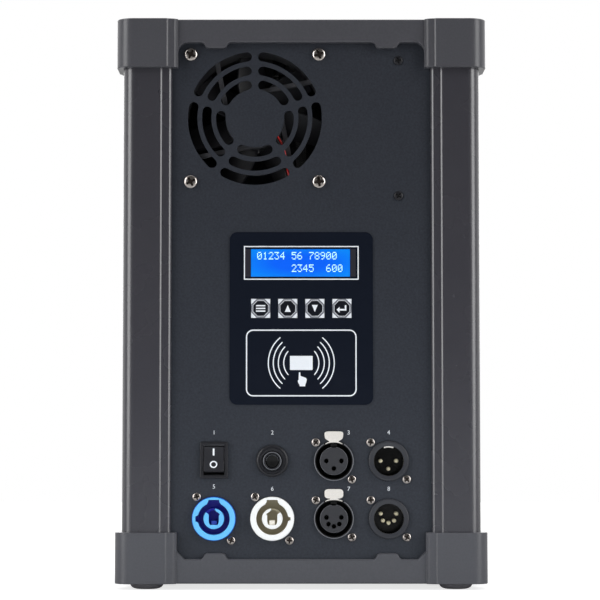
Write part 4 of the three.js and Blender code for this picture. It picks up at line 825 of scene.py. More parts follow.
@dataclass
class CornerPosts:
    """Four coated extrusions with a round outer corner and a strip down to each panel."""

    face: float = 99.3
    corner: float = 7
    slope_start: float = 78.0
    lip_tip: float = 72.1
    panel: float = 95.5
    crease: float = 0.85
    groove_end: float = 76.3
    inner_face: float = 91.9
    web: float = 81.1
    port: float = 90.3

    def outline(self) -> Outline:
        """The post's section, for +X +Y."""
        start, tip, crease = self.slope_start, self.lip_tip, self.crease
        strip = self.face - crease * 0.75
        lip = self.panel + 1.6
        half = [(self.face, start + crease / 2), (strip, start - crease / 2),
                (strip - 0.4, tip + 1.75 * crease), (strip - 0.97, tip + 0.75 * crease),
                (lip - 0.3, tip + 0.1 * crease), (self.panel + 0.2, tip), (self.panel + 0.2, self.groove_end),
                (self.panel - 1.7, self.groove_end), (self.panel - 1.7, tip), (self.inner_face, tip),
                (self.inner_face, self.web)]
        across = [(y, x) for x, y in half]
        corner = self.face - self.corner
        return [*arc(corner, corner, self.corner, 0, 90, 14), *across, *reversed(half)]

    def build(self) -> None:
        """Makes the four posts and dresses them."""
        place = Place("corner_post_front_left")
        low, high = place.low.z, place.high.z
        port = circle(self.port, self.port, 3, 24)
        for turns, name in enumerate(("rear_right", "rear_left", "front_left", "front_right")):
            post = prism(f"post_{name}", Facing.UPWARD, quarter_turned(self.outline(), turns), low, high)
            carved(post, prism("port", Facing.UPWARD, quarter_turned(port, turns), low - 1, high + 1))
            dressed(softened(post, 0.12, 2, 24), POST, nodes=[f"corner_post_{name}"])


@dataclass
class Feet:
    """Four low rubber domes under the corner blocks."""

    radius: float = 9.15
    flat: float = 4.8
    plug: float = 4
    top: float = 3.1
    bulge: float = 0.86

    def build(self) -> None:
        """Makes a foot at each corner and dresses it."""
        run, rise = self.radius - self.flat, self.top * self.bulge
        dome = [(self.flat + run * math.sin(a), rise * (1 - math.cos(a)))
                for a in (math.radians(9 * i) for i in range(11))]
        for name in ("front_left", "front_right", "rear_left", "rear_right"):
            place = Place(f"foot_{name}")
            profile = [(0, 0), *dome, (self.radius, self.top), (self.plug, self.top),
                       (self.plug, place.high.z), (0, place.high.z)]
            foot = turned(f"rubber_foot_{name}", Facing.UPWARD, (place.x, place.y), profile, 48)
            # The feet's finish is paler than black rubber: painted light.
            dressed(smoothed(foot), RUBBER_PAINTED_LIGHT, nodes=[f"foot_{name}"])


@dataclass
class CoverPlates:
    """The recessed top plate with its vents and lid ears, and the base plate."""

    half: float = 87.8
    notch: float = 73.4
    vent_width: float = 3.2
    vent_length: float = 34
    pitch: float = 8
    mouth: float = 44
    collar: float = 17.2
    ear: float = 9
    knuckle: float = 20
    running: float = 0.3

    def vents(self, cx: float, cy: float, count: int, length: Optional[float] = None) -> list[Outline]:
        """A row of slots with round ends."""
        first = cx - (count - 1) / 2 * self.pitch
        long = length or self.vent_length
        return [slot(first + i * self.pitch, cy, self.vent_width, long) for i in range(count)]

    def outline(self) -> Outline:
        """A square notched at its corners for the end frame's pads."""
        corner = arc(self.notch + 1, self.notch + 1, 1, 270, 180, 4)
        return all_round([(self.half, self.notch), *corner, (self.notch, self.half)])

    def top(self) -> Piece:
        """The top plate, with two ears that hold the lid's pin."""
        lid, pin, nozzle = Place("hopper_lid"), Place("lid_hinge_pin"), Place("nozzle_ring")
        under, face = Place("hopper").high.z + 0.2, nozzle.high.z - 2.8
        holes = [rounded(lid.x, 0, self.mouth, self.mouth, 3), circle(nozzle.x, nozzle.y, self.collar, 64),
                 *self.vents(-lid.x, -5, 5, self.vent_length - 10)]
        cover = plate("cover_top", Facing.UPWARD, self.outline(), under, face, holes, 0.3)
        y, z = pin.y, pin.z
        outline = [*arc(y, z, 2.1, 180, 0, 12), (y + 2.1, face - 0.3), (y - 1.2, face - 0.3),
                   (y - 1.2, z - 1.7)]
        for side in (-1, 1):
            inner = lid.x + side * (self.knuckle / 2 + self.running)
            low, high = sorted((inner, inner + side * self.ear))
            built_up(cover, prism("ear", Facing.SIDEWAYS, outline, low, high))
            carved(cover, prism("bore", Facing.SIDEWAYS, circle(y, z, 1.4, 24), low - 1, high + 1))
        return smoothed(cover)

    def build(self) -> None:
        """Makes and dresses both plates."""
        upper, base = self.top(), Place("base_plate")
        lower = plate("cover_base", Facing.UPWARD, self.outline(), base.low.z, base.high.z,
                      self.vents(-13, 0, 5), 0.3)
        dressed(upper, POWDER, nodes=["top_plate"])
        dressed(lower, POWDER, nodes=["base_plate"])


# Half the width of a wall sheet, and the depths of its faces
SHEET_HALF = 76.0
SHEET_DEPTHS = (-95.5, -94.0)


def wall(node: str) -> Outline:
    """The outline of the sheet that a panel is made of."""
    place = Place(node)
    return rectangle(0, place.z, 2 * SHEET_HALF, place.high.z - place.low.z)


@dataclass
class SidePanels:
    """The plain panels with rows of vents."""

    count: int = 12
    drop: float = 95
    rise: float = 52

    def build(self) -> None:
        """Makes the rear, left and right panels and dresses them."""
        cover, sheet = CoverPlates(), wall("rear_panel")
        upper = cover.vents(0, Place("top_frame").high.z - self.drop, self.count)
        lower = cover.vents(0, Place("bottom_frame").low.z + self.rise, self.count)
        for node, turns, holes in (("rear_panel", 180, upper + lower), ("left_panel", -90, upper),
                                   ("right_panel", 90, upper)):
            panel = plate(f"sheet_{node}", Facing.INWARD, sheet, *SHEET_DEPTHS, holes)
            dressed(spun(panel, turns, "Z"), POWDER, nodes=[node])


@dataclass
class ControlPanel:
    """The front sheet: grille, control holes, stud marks and two screw dimples."""

    ring_radii: tuple[tuple[float, float], ...] = ((32.1, 37.4), (24.3, 29.5), (16.3, 21.7))
    spokes: int = 5
    spoke_width: float = 3.5
    dimple: float = 3.75
    screws: tuple[Point, ...] = ((54.2, 294.1), (54.2, 218.2))
    studs: tuple[Point, ...] = ((-46.4, 196.5), (-46.4, 185.4), (-46.4, 150.3), (-46.9, 115.2),
                                (-55.8, 106.8), (47.4, 194.8), (47.4, 115.6))

    def grille(self) -> list[Outline]:
        """The fan grille's three rings of curved slots."""
        fan = Place("fan_frame")
        outlines = []
        for inner, outer in self.ring_radii:
            middle, end = (inner + outer) / 2, (outer - inner) / 2
            back = math.degrees(math.asin((self.spoke_width / 2 + end) / middle))
            for i in range(self.spokes):
                spoke = 90 + i * 360 / self.spokes
                outlines.append(curved_slot(fan.x, fan.z, inner, outer, spoke + back,
                                            spoke + 360 / self.spokes - back, 24, 8))
        return outlines

    def holes(self) -> list[Outline]:
        """The holes for what is mounted on the face."""
        outlines = self.grille()
        outlines += [Place(f"fan_screw_{i}").circle(2.1, 24) for i in range(1, 5)]
        outlines.append(rectangle(-0.45, Place("keypad_overlay").z + 30.85, 55.5, 15.7))
        outlines += [Place(f"key_{name}").rectangle(11.1, 11) for name in KEYS]
        outlines += [Place("rocker_housing").rectangle(13.8, 18.8), Place("breaker_body").circle(5.95, 48)]
        for name, radius in (("power_in_socket", 12.25), ("power_out_socket", 12.25),
                             ("data_out_3pin_shell", 11.1), ("data_out_5pin_shell", 11.1),
                             ("data_in_3pin_shell", 11.2), ("data_in_5pin_shell", 11.2)):
            place = Place(name)
            outlines.append(place.circle(radius, 64))
            if "data_out" in name:
                outlines.append(rectangle(place.x, place.z + 13.8, 4.6, 2.6))
        return outlines

    def build(self) -> None:
        """Makes the panel and dresses it."""
        front, back = SHEET_DEPTHS
        panel = prism("face_panel", Facing.INWARD, wall("control_panel"), front, back)
        carved(panel, *[prism("hole", Facing.INWARD, hole, front - 1, back + 1) for hole in self.holes()])
        dimple = [(0, front + 0.55), (self.dimple - 0.9, front + 0.55), (self.dimple, front - 0.05),
                  (self.dimple, front - 1), (0, front - 1)]
        for spot in self.screws:
            carved(panel, turned("dimple", Facing.INWARD, spot, dimple, 40))
        softened(panel, 0.3, 2)
        stud = [(0, front - 0.14), (1.7, front - 0.12), (2.3, front + 0.02), (0, front + 0.02)]
        for spot in self.studs:
            built_up(panel, turned("stud", Facing.INWARD, spot, stud, 32))
        dressed(smoothed(panel), POWDER, nodes=["control_panel"])


# Control face


FACE = Place("control_panel").front
KEYS = ("menu", "up", "down", "enter")

# Depths behind the panel's front: where mounted things start, and where a flange ends
BEHIND = 1.7
FLANGE_BACK = 4.2

# How far a print reaches into what it is printed on
ROOT = 0.1

# The share of a connector's bore at which its contacts lie
CONTACT_CIRCLE = 0.54


def swung(points: Outline, centre: Point, degrees: float) -> Outline:
    """An outline turned anticlockwise about a centre."""
    angle = math.radians(degrees)
    cos, sin = math.cos(angle), math.sin(angle)
    moved = [(u - centre[0], v - centre[1]) for u, v in points]
    return [(centre[0] + u * cos - v * sin, centre[1] + u * sin + v * cos) for u, v in moved]


def shifted(points: Outline, x: float, z: float) -> Outline:
    """An outline moved from the origin to a place."""
    return [(x + u, z + v) for u, v in points]


def mirrored(half: Outline, cx: float, cy: float) -> Outline:
    """A whole outline from its right half, drawn from the top down, about a middle."""
    right = [(cx + u, cy + v) for u, v in half]
    left = [(cx - u, cy + v) for u, v in reversed(half) if u > 0]
    return right + left


def faced(name: str, outline: Outline, front: float, back: float) -> Piece:
    """A flat solid on the control face, its depths measured from the panel's front."""
    return prism(name, Facing.INWARD, outline, FACE + front, FACE + back)


def ringed(name: str, outer: Outline, inner: Outline, front: float, back: float) -> Piece:
    """A flat ring on the control face."""
    return carved(faced(name, outer, front, back), faced("hole", inner, front - 1, back + 1))


def bushed(name: str, x: float, z: float, profile: Outline, sides: int = 64) -> Piece:
    """A turned piece on the control face, its depths measured from the panel's front."""
    return turned(name, Facing.INWARD, (x, z), [(r, FACE + depth) for r, depth in profile], sides)


def drum(name: str, x: float, z: float, radius: float, front: float, back: float, sides: int) -> Piece:
    """A plain cylinder on the control face, between two depths."""
    return bushed(name, x, z, [(0, front), (radius, front), (radius, back), (0, back)], sides)


def mounted(ring: Piece, x: float, z: float, flange: Point, bore: Outline, cavity: float) -> Piece:
    """Adds a flange behind the panel to a connector's ring, and opens its bore up to a depth."""
    built_up(ring, faced("flange", rounded(x, z, *flange, 3, 5), BEHIND, FLANGE_BACK))
    return carved(ring, faced("opening", bore, 1, cavity))


def tube_profile(outer: float, inner: float, front: float, back: float, lip: float) -> Outline:
    """The closed profile of a tube whose front edge is rounded."""
    return [(inner, back), *arc(inner + lip, front + lip, lip, 180, 270, 4),
            *arc(outer - lip, front + lip, lip, 270, 360, 4), (outer, back), (inner, back)]


def blade(x: float, z: float, depth: float, upright: bool = False) -> Piece:
    """A flat contact blade that leaves a body behind the control face at a depth."""
    size = (0.8, 4.8) if upright else (4.8, 0.8)
    return faced("blade", rectangle(x, z, *size), depth - 1, depth + 8)


@dataclass
class CrossHeadScrew:
    """A pan-head screw with a cross recess that faces out of the panel."""

    radius: float
    height: float
    shank: float
    length: float
    finish: Finish
    # The finish of the faces in the cross recess: painted shade.
    recess: Finish
    cross_width: float = 0.9
    cross_depth: float = 0.9
    reach: float = 0.66
    heart: float = 1.7
    brim: float = 0.4

    def build(self, name: str, x: float, z: float, seat: float, turn: float,
              nodes: Sequence[str] = ()) -> Piece:
        """Makes and dresses the screw.

        Args:
            name: the piece's name.
            x, z: where its axis is.
            seat: the depth of the underside of its head.
            turn: how far its cross is turned, in degrees.
            nodes: the construction nodes that it stands for.

        Returns:
            The screw.
        """
        front, rim = seat - self.height, seat - self.height * self.brim
        dome = [(self.radius * math.sin(a), front + (rim - front) * (1 - math.cos(a)))
                for a in (math.radians(11.25 * i) for i in range(9))]
        screw = bushed(name, x, z, [*dome, (self.radius, seat), (self.shank, seat),
                                    (self.shank, seat + self.length), (0, seat + self.length)], 48)
        long, wide = 2 * self.radius * self.reach, self.cross_width
        heart = wide * self.heart
        cutters = [faced("arm", swung(rectangle(x, z, *size), (x, z), turn + extra), front - 1,
                         front + self.cross_depth)
                   for size, extra in (((long, wide), 0), ((wide, long), 0), ((heart, heart), 45))]
        for cutter in cutters:
            carved(screw, cutter)
        dressed(softened(screw, 0.06, 2, 50), self.finish, nodes=nodes)

        def sunk(away: float, depth: float, middle: Vector) -> bool:
            """Tells whether a face lies in the recess."""
            share = min(1.0, away / self.radius)
            surface = front + (rim - front) * (1 - math.sqrt(1 - share * share))
            return away < self.radius * self.reach * 1.05 and surface + 0.09 < depth < seat

        # The faces in the cross recess get painted shade.
        return lined(screw, self.recess, (x, z), sunk)


def lettering(name: str, text: str, height: float, x: float, z: float, finish: Finish,
              front: float = -0.05, back: float = ROOT) -> Piece:
    """Plain figures printed on the control face, made a mesh before they are placed."""
    bpy.ops.object.select_all(action="DESELECT")
    bpy.ops.object.text_add()
    data = bpy.context.active_object.data
    data.body = text
    data.size = height * MM / 0.7
    data.align_x = "CENTER"
    data.align_y = "CENTER"
    data.extrude = (back - front) / 2 * MM
    data.resolution_u = 4
    bpy.ops.object.convert(target="MESH")
    piece = named(bpy.context.active_object, name)
    piece.rotation_euler = (math.radians(90), 0, 0)
    piece.location = Facing.INWARD.spot(x, z, FACE + (front + back) / 2)
    bpy.ops.object.transform_apply(location=True, rotation=True, scale=True)
    return dressed(piece, finish)


@dataclass
class Overlay:
    """The keypad film with its printed lines, sensor waves, card and pointing hand."""

    corner: float = 4.3
    window: tuple[float, float] = (55.1, 15.3)
    key_size: tuple[float, float] = (10.9, 10.8)
    frame_size: tuple[float, float] = (63.8, 18.8)
    frame_line: float = 0.62
    mask: tuple[float, float] = (2.9, 15.3)
    card_area: tuple[float, float] = (61.4, 37.1)
    card_area_corner: float = 4
    area_line: float = 0.7
    card: tuple[float, float] = (12.6, 7.8)
    card_rise: float = 23.2
    wave_radii: tuple[float, ...] = (18.3, 15.55, 12.75, 9.75)
    wave_line: float = 0.62
    wave_reach: float = 31.5
    ink: float = 0.04

    def printed(self, name: str, outlines: Sequence[Outline], hole: Optional[Outline] = None,
                finish: Finish = FILM_WHITE) -> None:
        """Prints outlines on the film, or the line between one outline and a hole."""
        front = Place("keypad_overlay").front - FACE
        depths = (front - self.ink, front + ROOT)
        if hole:
            dressed(ringed(name, outlines[0], hole, *depths), finish)
        else:
            dressed(joined(name, [faced(name, outline, *depths) for outline in outlines]), finish)

    def waves(self, x: float, z: float) -> list[Outline]:
        """Arcs on both sides of the card."""
        half = self.wave_line / 2
        return [curved_slot(x, z, radius - half, radius + half, heading - self.wave_reach - radius,
                            heading + self.wave_reach + radius, 20, 3)
                for radius in self.wave_radii for heading in (0, 180)]

    def build(self) -> None:
        """Makes the film and its prints, and dresses them."""
        place, display = Place("keypad_overlay"), Place("display_module")
        x, z = place.x, place.low.z + self.card_rise
        width, height = place.high.x - place.low.x, place.high.z - place.low.z
        holes = [display.rectangle(self.window[0] + 0.3, self.window[1] + 0.3)]
        holes += [Place(f"key_{name}").rectangle(*self.key_size) for name in KEYS]
        film = plate("overlay_film", Facing.INWARD, rounded(x, place.z, width, height, self.corner, 8),
                     place.low.y, place.high.y, holes, 0.1)
        dressed(film, FILM, nodes=["keypad_overlay"])
        (wide, high), line = self.frame_size, 2 * self.frame_line
        self.printed("print_window_line", [rectangle(x, display.z, wide, high)],
                     rectangle(x, display.z, wide - line, high - line))
        for side, label in ((-1, "left"), (1, "right")):
            at_x = display.x + side * (self.window[0] / 2 + 0.25 + self.mask[0] / 2)
            self.printed(f"window_mask_{label}", [rectangle(at_x, display.z, *self.mask)], finish=MASK)
        (wide, high), line, corner = self.card_area, 2 * self.area_line, self.card_area_corner
        self.printed("print_card_area", [rounded(x, z, wide, high, corner, 8)],
                     rounded(x, z, wide - line, high - line, corner - self.area_line, 8))
        self.printed("print_card", [rounded(x, z, *self.card, 0.35, 4)])
        hand = [(-1.35, -5.4), (-1.15, -5.15), (-0.75, -5.15), (-0.55, -5.4), (-0.4, -7.2), (0.6, -7.55),
                (1.4, -7.8), (2.6, -8.35), (3.05, -9.1), (2.85, -10.4), (2.35, -11.7), (2.1, -12.95),
                (-0.9, -12.95), (-1.05, -12.0), (-1.75, -11.0), (-1.95, -9.9), (-1.5, -9.3)]
        self.printed("print_hand", [shifted(hand, x, z)])
        self.printed("print_waves", self.waves(x, z))


@dataclass
class Display:
    """The backlit window with its figures, the module's frame and its board."""

    window: tuple[float, float] = (55.1, 15.3)
    pitch: tuple[float, float] = (0.53, 0.6)
    dot: tuple[float, float] = (0.44, 0.5)
    step: float = 3.2
    first: float = -23.85
    ink: float = 0.04
    lines: tuple[tuple[float, str], ...] = ((4.0, "01234 56 78900"), (-2.95, "      2345  600"))

    def figures(self, place: Place, front: float) -> Piece:
        """The figures of both lines, as rows of dots that run together."""
        bars = []
        for rise, text in self.lines:
            for column, sign in enumerate(text):
                if sign == " ":
                    continue
                left = place.x + self.first + column * self.step
                for row, pattern in enumerate(FIGURES[sign].split()):
                    z = place.z + rise + (3 - row) * self.pitch[1]
                    for start, end in self.runs(pattern):
                        x = left + (start + end) / 2 * self.pitch[0]
                        width = (end - start) * self.pitch[0] + self.dot[0]
                        bar = rectangle(x, z, width, self.dot[1])
                        bars.append(faced("bar", bar, front - self.ink, front + ROOT))
        return joined("display_figures", bars)

    @staticmethod
    def runs(pattern: str) -> list[tuple[int, int]]:
        """First and last places of each run of lit dots in a row."""
        lit = [i for i, sign in enumerate(pattern) if sign == "1"]
        starts = [i for i in lit if i - 1 not in lit]
        ends = [i for i in lit if i + 1 not in lit]
        return list(zip(starts, ends))

    def build(self) -> None:
        """Makes the display's pieces and dresses them."""
        place = Place("display_module")
        front = place.front - FACE
        light = Backlight("display_light", (5, 92, 232), 0.22, entry="display_blue", swing=0.04, drift=9,
                          glow=0.3, edge=(4, 124, 232), centre=(place.x, place.z))
        glass = faced("display_window", place.rectangle(*self.window), front, 1.9)
        dressed(softened(glass, 0.1), light, nodes=["display_module"])
        for name, size, low, high, edge, finish in (("display_bezel", (66, 24), BEHIND, 6.5, 0.3, BLACK),
                                                    ("display_board", (70, 26), 6.5, 8.1, 0.1, BOARD),
                                                    ("display_header", (33, 5), 8.1, 10.5, 0.2, BLACK)):
            dressed(softened(faced(name, place.rectangle(*size), low, high), edge), finish)
        dressed(self.figures(place, front), DIGITS)


@dataclass
class Keys:
    """Four film keys: a white square with a dark ring, a black octagon and a sign."""

    size: tuple[float, float] = (10.5, 10.5)
    flange: tuple[float, float] = (12.5, 12.4)
    octagon_width: float = 8.35
    edge_line: float = 0.34
    ink: float = 0.04

    def signs(self, name: str, x: float, z: float) -> list[Outline]:
        """The outlines of a key's sign."""
        if name in ("up", "down"):
            way = 1 if name == "up" else -1
            return [[(x - 1.65, z - way * 1.95), (x + 1.65, z - way * 1.95), (x, z + way * 1.95)]]
        if name == "menu":
            return [rectangle(x, z + rise, 5.2, 0.75) for rise in (-1.5, 0, 1.5)]
        arrow = [(2.5, 1.8), (2.5, -1.25), (-1.3, -1.25), (-1.3, -2.4), (-3.0, -0.75), (-1.3, 0.9),
                 (-1.3, -0.25), (1.6, -0.25), (1.6, 1.8)]
        return [shifted(arrow, x, z)]

    def build(self) -> None:
        """Makes the four keys and dresses them."""
        width, octagon_width = self.size[0], self.octagon_width
        for name in KEYS:
            place, body = Place(f"key_{name}"), f"{name}_key"
            x, z, front = place.x, place.z, place.front - FACE + 3 * self.ink
            cap = softened(faced(f"{name}_cap", place.rectangle(*self.size), front, 1.8), 0.12)
            built_up(cap, faced("foot", place.rectangle(*self.flange), BEHIND, 2.5),
                     faced("stem", place.rectangle(4, 4), 2.4, place.high.y - FACE))
            dressed(smoothed(cap), FILM_WHITE, body, [f"key_{name}"], "key_ink")
            depths = (front - self.ink, front + ROOT)
            for label, outer, inner, finish in (
                    ("ring", (width - 0.04, 3.05), (width - 2 * self.edge_line, 2.95), RING_GREY),
                    ("band", (octagon_width + 1.15, 2.75), (octagon_width + 0.55, 2.6), BAND_GREY)):
                ring = ringed(f"{name}_{label}", octagon(x, z, *outer), octagon(x, z, *inner), *depths)
                dressed(ring, finish, body)
            dressed(faced(f"{name}_octagon", octagon(x, z, octagon_width, 2.45), *depths), KEY_BLACK, body)
            marks = [faced("mark", outline, front - 2 * self.ink, front + ROOT)
                     for outline in self.signs(name, x, z)]
            dressed(joined(f"{name}_sign", marks), FILM_WHITE, body, slot_name="key_ink")


@dataclass
class RockerSwitch:
    """A bezel with a deep well, and a paddle that swings in it, its upper side pressed."""

    size: tuple[float, float] = (15.3, 20.2)
    well: tuple[float, float] = (11.5, 16.1)
    bezel: float = 2.0
    body: tuple[float, float] = (13.4, 18.4)
    depth: float = 18
    paddle_width: float = 11.2
    pivot_depth: float = 1.2
    half_length: float = 7.0
    tip: float = 4.0
    tilt: float = 10

    @property
    def valley(self) -> float:
        """How far the paddle's valley stands out from its pivot."""
        return self.tip - self.half_length * math.tan(math.radians(self.tilt))

    def housing(self, place: Place) -> None:
        """The bezel, the body behind the panel and its three contact blades."""
        x, z, front = place.x, place.z, -self.bezel - 1
        rim = softened(faced("rocker_bezel", rounded(x, z, *self.size, 1, 4), -self.bezel, -0.2), 0.55, 3, 50)
        built_up(rim, faced("body", place.rectangle(*self.body), -self.bezel / 2, self.depth))
        carved(rim, faced("well", place.rectangle(*self.well), front, self.pivot_depth + 8.2))
        step = rounded(x, z, self.well[0] + 0.5, self.well[1] + 0.8, 0.4, 3)
        carved(rim, faced("step", step, front, -self.bezel + 0.35))
        for share in (-1, 0, 1):
            built_up(rim, blade(x, z + share * self.body[1] / 3, self.depth))
        dressed(softened(rim, 0.08, 2, 50), BLACK, nodes=["rocker_housing"])
        # Painted highlight along the top edge of the well.
        crest = z + self.well[1] / 2 + 0.2
        lined(rim, PAINTED_HIGHLIGHT_GREY, (x, z), lambda away, depth, middle: abs(middle.z - crest) < 0.35
              and abs(middle.x - x) < 4.5 and depth < 0.6 - self.bezel)

    def paddle(self, place: Place) -> None:
        """The paddle, with slopes that meet in a valley and straight ends."""
        pivot, long, half = (FACE + self.pivot_depth, place.z), self.half_length, self.paddle_width / 2
        side = [(-self.valley, 0), (-self.tip, long), (0.6, long), (2.4, 4.5), (2.4, -4.5), (0.6, -long),
                (-self.tip, -long)]
        outline = swung(shifted(side, *pivot), pivot, -self.tilt)
        paddle = prism("rocker_key", Facing.SIDEWAYS, outline, place.x - half, place.x + half)
        softened(paddle, 0.3, 3, 30)
        built_up(paddle, prism("pin", Facing.SIDEWAYS, circle(*pivot, 1.1, 24), place.x - half - 0.8,
                               place.x + half + 0.8))
        dressed(smoothed(paddle), PADDLE, "switch_paddle", ["rocker_paddle"])

    def marks(self, place: Place) -> None:
        """The printed bar and ring."""
        x, z = place.x - 0.15, place.z
        low, crook = swung([(self.pivot_depth - self.valley, z)], (self.pivot_depth, z), -self.tilt)[0]
        depths = (low - 0.05, low + 0.2)
        bar = faced("rocker_bar", rounded(x, z + 4.55, 1.0, 3.9, 0.2, 3), *depths)
        middle = crook - (crook - z + 2.3) / math.cos(math.radians(2 * self.tilt))
        ring = ringed("rocker_ring", circle(x, middle, 2.1, 40), circle(x, middle, 1.35, 32), *depths)
        spun(ring, -2 * self.tilt, "X", Facing.INWARD.spot(place.x, crook, FACE + low))
        dressed(bar, FILM_WHITE, "switch_paddle")
        dressed(ring, FILM_WHITE, "switch_paddle")

    def build(self) -> None:
        """Makes the switch and dresses it."""
        place = Place("rocker_housing")
        self.housing(place)
        self.paddle(place)
        self.marks(place)


@dataclass
class Breaker:
    """A push-to-reset breaker: a ribbed collar, a threaded neck and a sunk button."""

    collar: float = 8.9
    collar_front: float = -2.4
    neck: float = 5.1
    neck_front: float = -4.0
    bore: float = 3.9
    button: float = 3.55
    button_front: float = -2.8
    body: tuple[float, float] = (15, 26)
    depth: float = 24

    def build(self) -> None:
        """Makes the breaker and dresses it."""
        place = Place("breaker_body")
        x, z = place.x, place.z
        neck, bore, rise = self.neck, self.bore, self.collar_front
        collar = [(bore, -0.2), (bore, rise + 1), (neck + 0.4, rise + 0.9), (neck + 0.6, rise + 0.15),
                  (neck + 1.2, rise), (6.9, rise), (7.15, rise + 0.25), (7.4, rise + 0.05), (8.1, rise + 0.2),
                  (8.65, rise + 0.6), (self.collar, rise + 1.2), (self.collar, -0.2), (bore, -0.2)]
        dressed(smoothed(bushed("breaker_nut", x, z, collar, 72), TURNED_ANGLE), BLACK)
        front = self.neck_front
        tube = bushed("breaker_neck", x, z, tube_profile(neck, bore, front, 1.9, 0.45), 64)
        for i in range(3):
            level = front + 0.95 + 0.35 * i
            carved(tube, bushed("groove", x, z, [(neck - 0.14, level), (neck + 1, level - 0.12),
                                                 (neck + 1, level + 0.12), (neck - 0.14, level)], 64))
        built_up(tube, softened(faced("body", place.rectangle(*self.body), BEHIND, self.depth), 0.4))
        carved(tube, drum("bore", x, z, bore, front - 1, 10, 48))
        for share in (-1, 1):
            built_up(tube, blade(x, z + share * self.body[1] / 4, self.depth))
        dressed(smoothed(tube, TURNED_ANGLE), BLACK, nodes=["breaker_body"])
        # Painted highlight on the front rim of the neck.
        lined(tube, PAINTED_HIGHLIGHT_GREY, (x, z), lambda away, depth, middle: depth < front + 0.3 and away > neck - 0.4)
        edge, face = self.button, self.button_front
        dish = [(0, face + 0.35), (1.8, face + 0.22), (2.9, face + 0.02),
                *arc(edge - 0.35, face + 0.35, 0.35, 270, 360, 4), (edge, 9.8), (0, 9.8)]
        button = smoothed(bushed("reset_cap", x, z, dish, 48), TURNED_ANGLE)
        dressed(button, GLOSS_BLACK, "reset_button", ["breaker_button"])
        # Painted highlight on the upper half of the button's edge, the side the light falls on.
        lined(button, PAINTED_HIGHLIGHT_GREY, (x, z), lambda away, depth, middle: away > edge - 0.3 and depth < face + 0.3
              and middle.z > z)


# Connectors


@dataclass
class PowerSocket:
    """A round locking mains socket: a keyed ring round a core with an open top."""

    node: str
    side: int
    finish: Finish
    # Painted shade with a painted glow for the cavity's walls and floor
    shade: Finish
    # The ring's outer side: painted shade on the blue socket, the plain white on the white one
    edge: Finish
    # The pocket's step: painted shade on the blue socket, a painted glow on the white one
    step: Finish
    notch: float
    radius: float = 12.1
    bore: float = 8.8
    core: float = 5.75
    front: float = -2.8
    core_front: float = -1.2
    cavity: float = 12
    depth: float = 22
    flange: tuple[float, float] = (26, 31)
    lowered: tuple[float, float] = (22, 29)

    def key_outline(self, x: float, z: float) -> Outline:
        """The wide key notch at the top, narrower towards the rim."""
        return [(x - 3.9, z + 7.4), (x + 3.9, z + 7.4), (x + 3.8, z + 8.3), (x + 3.2, z + 9.1),
                (x + 2.9, z + 10.45), (x - 2.9, z + 10.45), (x - 3.2, z + 9.1), (x - 3.8, z + 8.3)]

    def pocket_outline(self, x: float, z: float) -> Outline:
        """The contact pocket: a wide slot with a point on one side, open towards the top."""
        points = [(-1.9, -3.4), (1.9, -3.4), (2.5, -2.7), (2.8, -1.2), (2.8, 1.7), (3.35, 2.6), (1.3, 4.1),
                  (0.8, 4.7), (-1.0, 4.6), (-2.5, 3.8), (-3.1, 3.1), (-2.8, 1.9), (-2.8, -1.2), (-2.5, -2.7)]
        return [(x + self.side * u, z + v) for u, v in points]

    def core_piece(self, x: float, z: float) -> Piece:
        """The core with its pocket, and a stretch of its rim cut lower at the top."""
        front, back = self.core_front, self.cavity + 0.5
        core = bushed("core", x, z, [(0, front), *arc(self.core - 0.4, front + 0.4, 0.4, 270, 360, 4),
                                     (self.core, back), (0, back)], 56)
        carved(core, faced("pocket", self.pocket_outline(x, z), front - 1, self.cavity - 1))
        middle, spread = 90 + self.lowered[0] * self.side, self.lowered[1]
        wedge = [(x, z), *arc(x, z, self.core + 1, middle - spread, middle + spread, 8)]
        return carved(core, faced("lower", wedge, front - 1, front + 2.4))

    def build(self) -> None:
        """Makes the socket and dresses it."""
        x, z = Place(self.node).x, Place("data_in_5pin_shell").z
        front, back = self.front, self.depth
        ring = bushed(self.node + "_ring", x, z, tube_profile(self.radius, self.bore, front, back, 0.55), 88)
        mounted(ring, x, z, self.flange, circle(x, z, self.bore, 88), self.cavity)
        built_up(ring, drum("floor", x, z, self.bore + 1, self.cavity, back, 64))
        carved(ring, faced("key", self.key_outline(x, z), front - 1, 7))
        half = [(8, self.notch + 0.4), (9, self.notch + 0.35), (9.2, self.notch), (10.1, self.notch - 0.1)]
        notch = [(x - self.side * u, z + v) for u, v in half + [(u, -v) for u, v in reversed(half)]]
        carved(ring, faced("notch", notch, front - 1, 7))
        built_up(ring, self.core_piece(x, z))
        for share in (-1, 0, 1):
            built_up(ring, blade(x + share * self.core, z, back, upright=True))
        dressed(softened(ring, 0.1, 2, 55), self.finish, nodes=[self.node])

        def inside(away: float, depth: float, middle: Vector) -> bool:
            """Tells whether a face is a wall or floor of the cavity."""
            lowest = self.core_front + 0.7 if away < self.core + 0.1 else front + 0.75
            return away < self.radius - 0.8 and lowest < depth < self.cavity + 0.6

        # The cavity's walls and floor get painted shade with a painted glow.
        lined(ring, self.shade, (x, z), inside)
        # The ring's outer side gets the edge finish, painted shade on the blue socket.
        lined(ring, self.edge, (x, z), lambda away, depth, middle: away > self.radius - 0.28)
        # The step in the pocket gets painted shade on the blue socket and a painted glow on the white one.
        step = faced(self.node + "_step", rectangle(x + 0.1 * self.side, z - 2.15, 3.1, 2.3),
                     self.core_front + 1.3, self.cavity - 0.5)
        dressed(softened(step, 0.2), self.step)


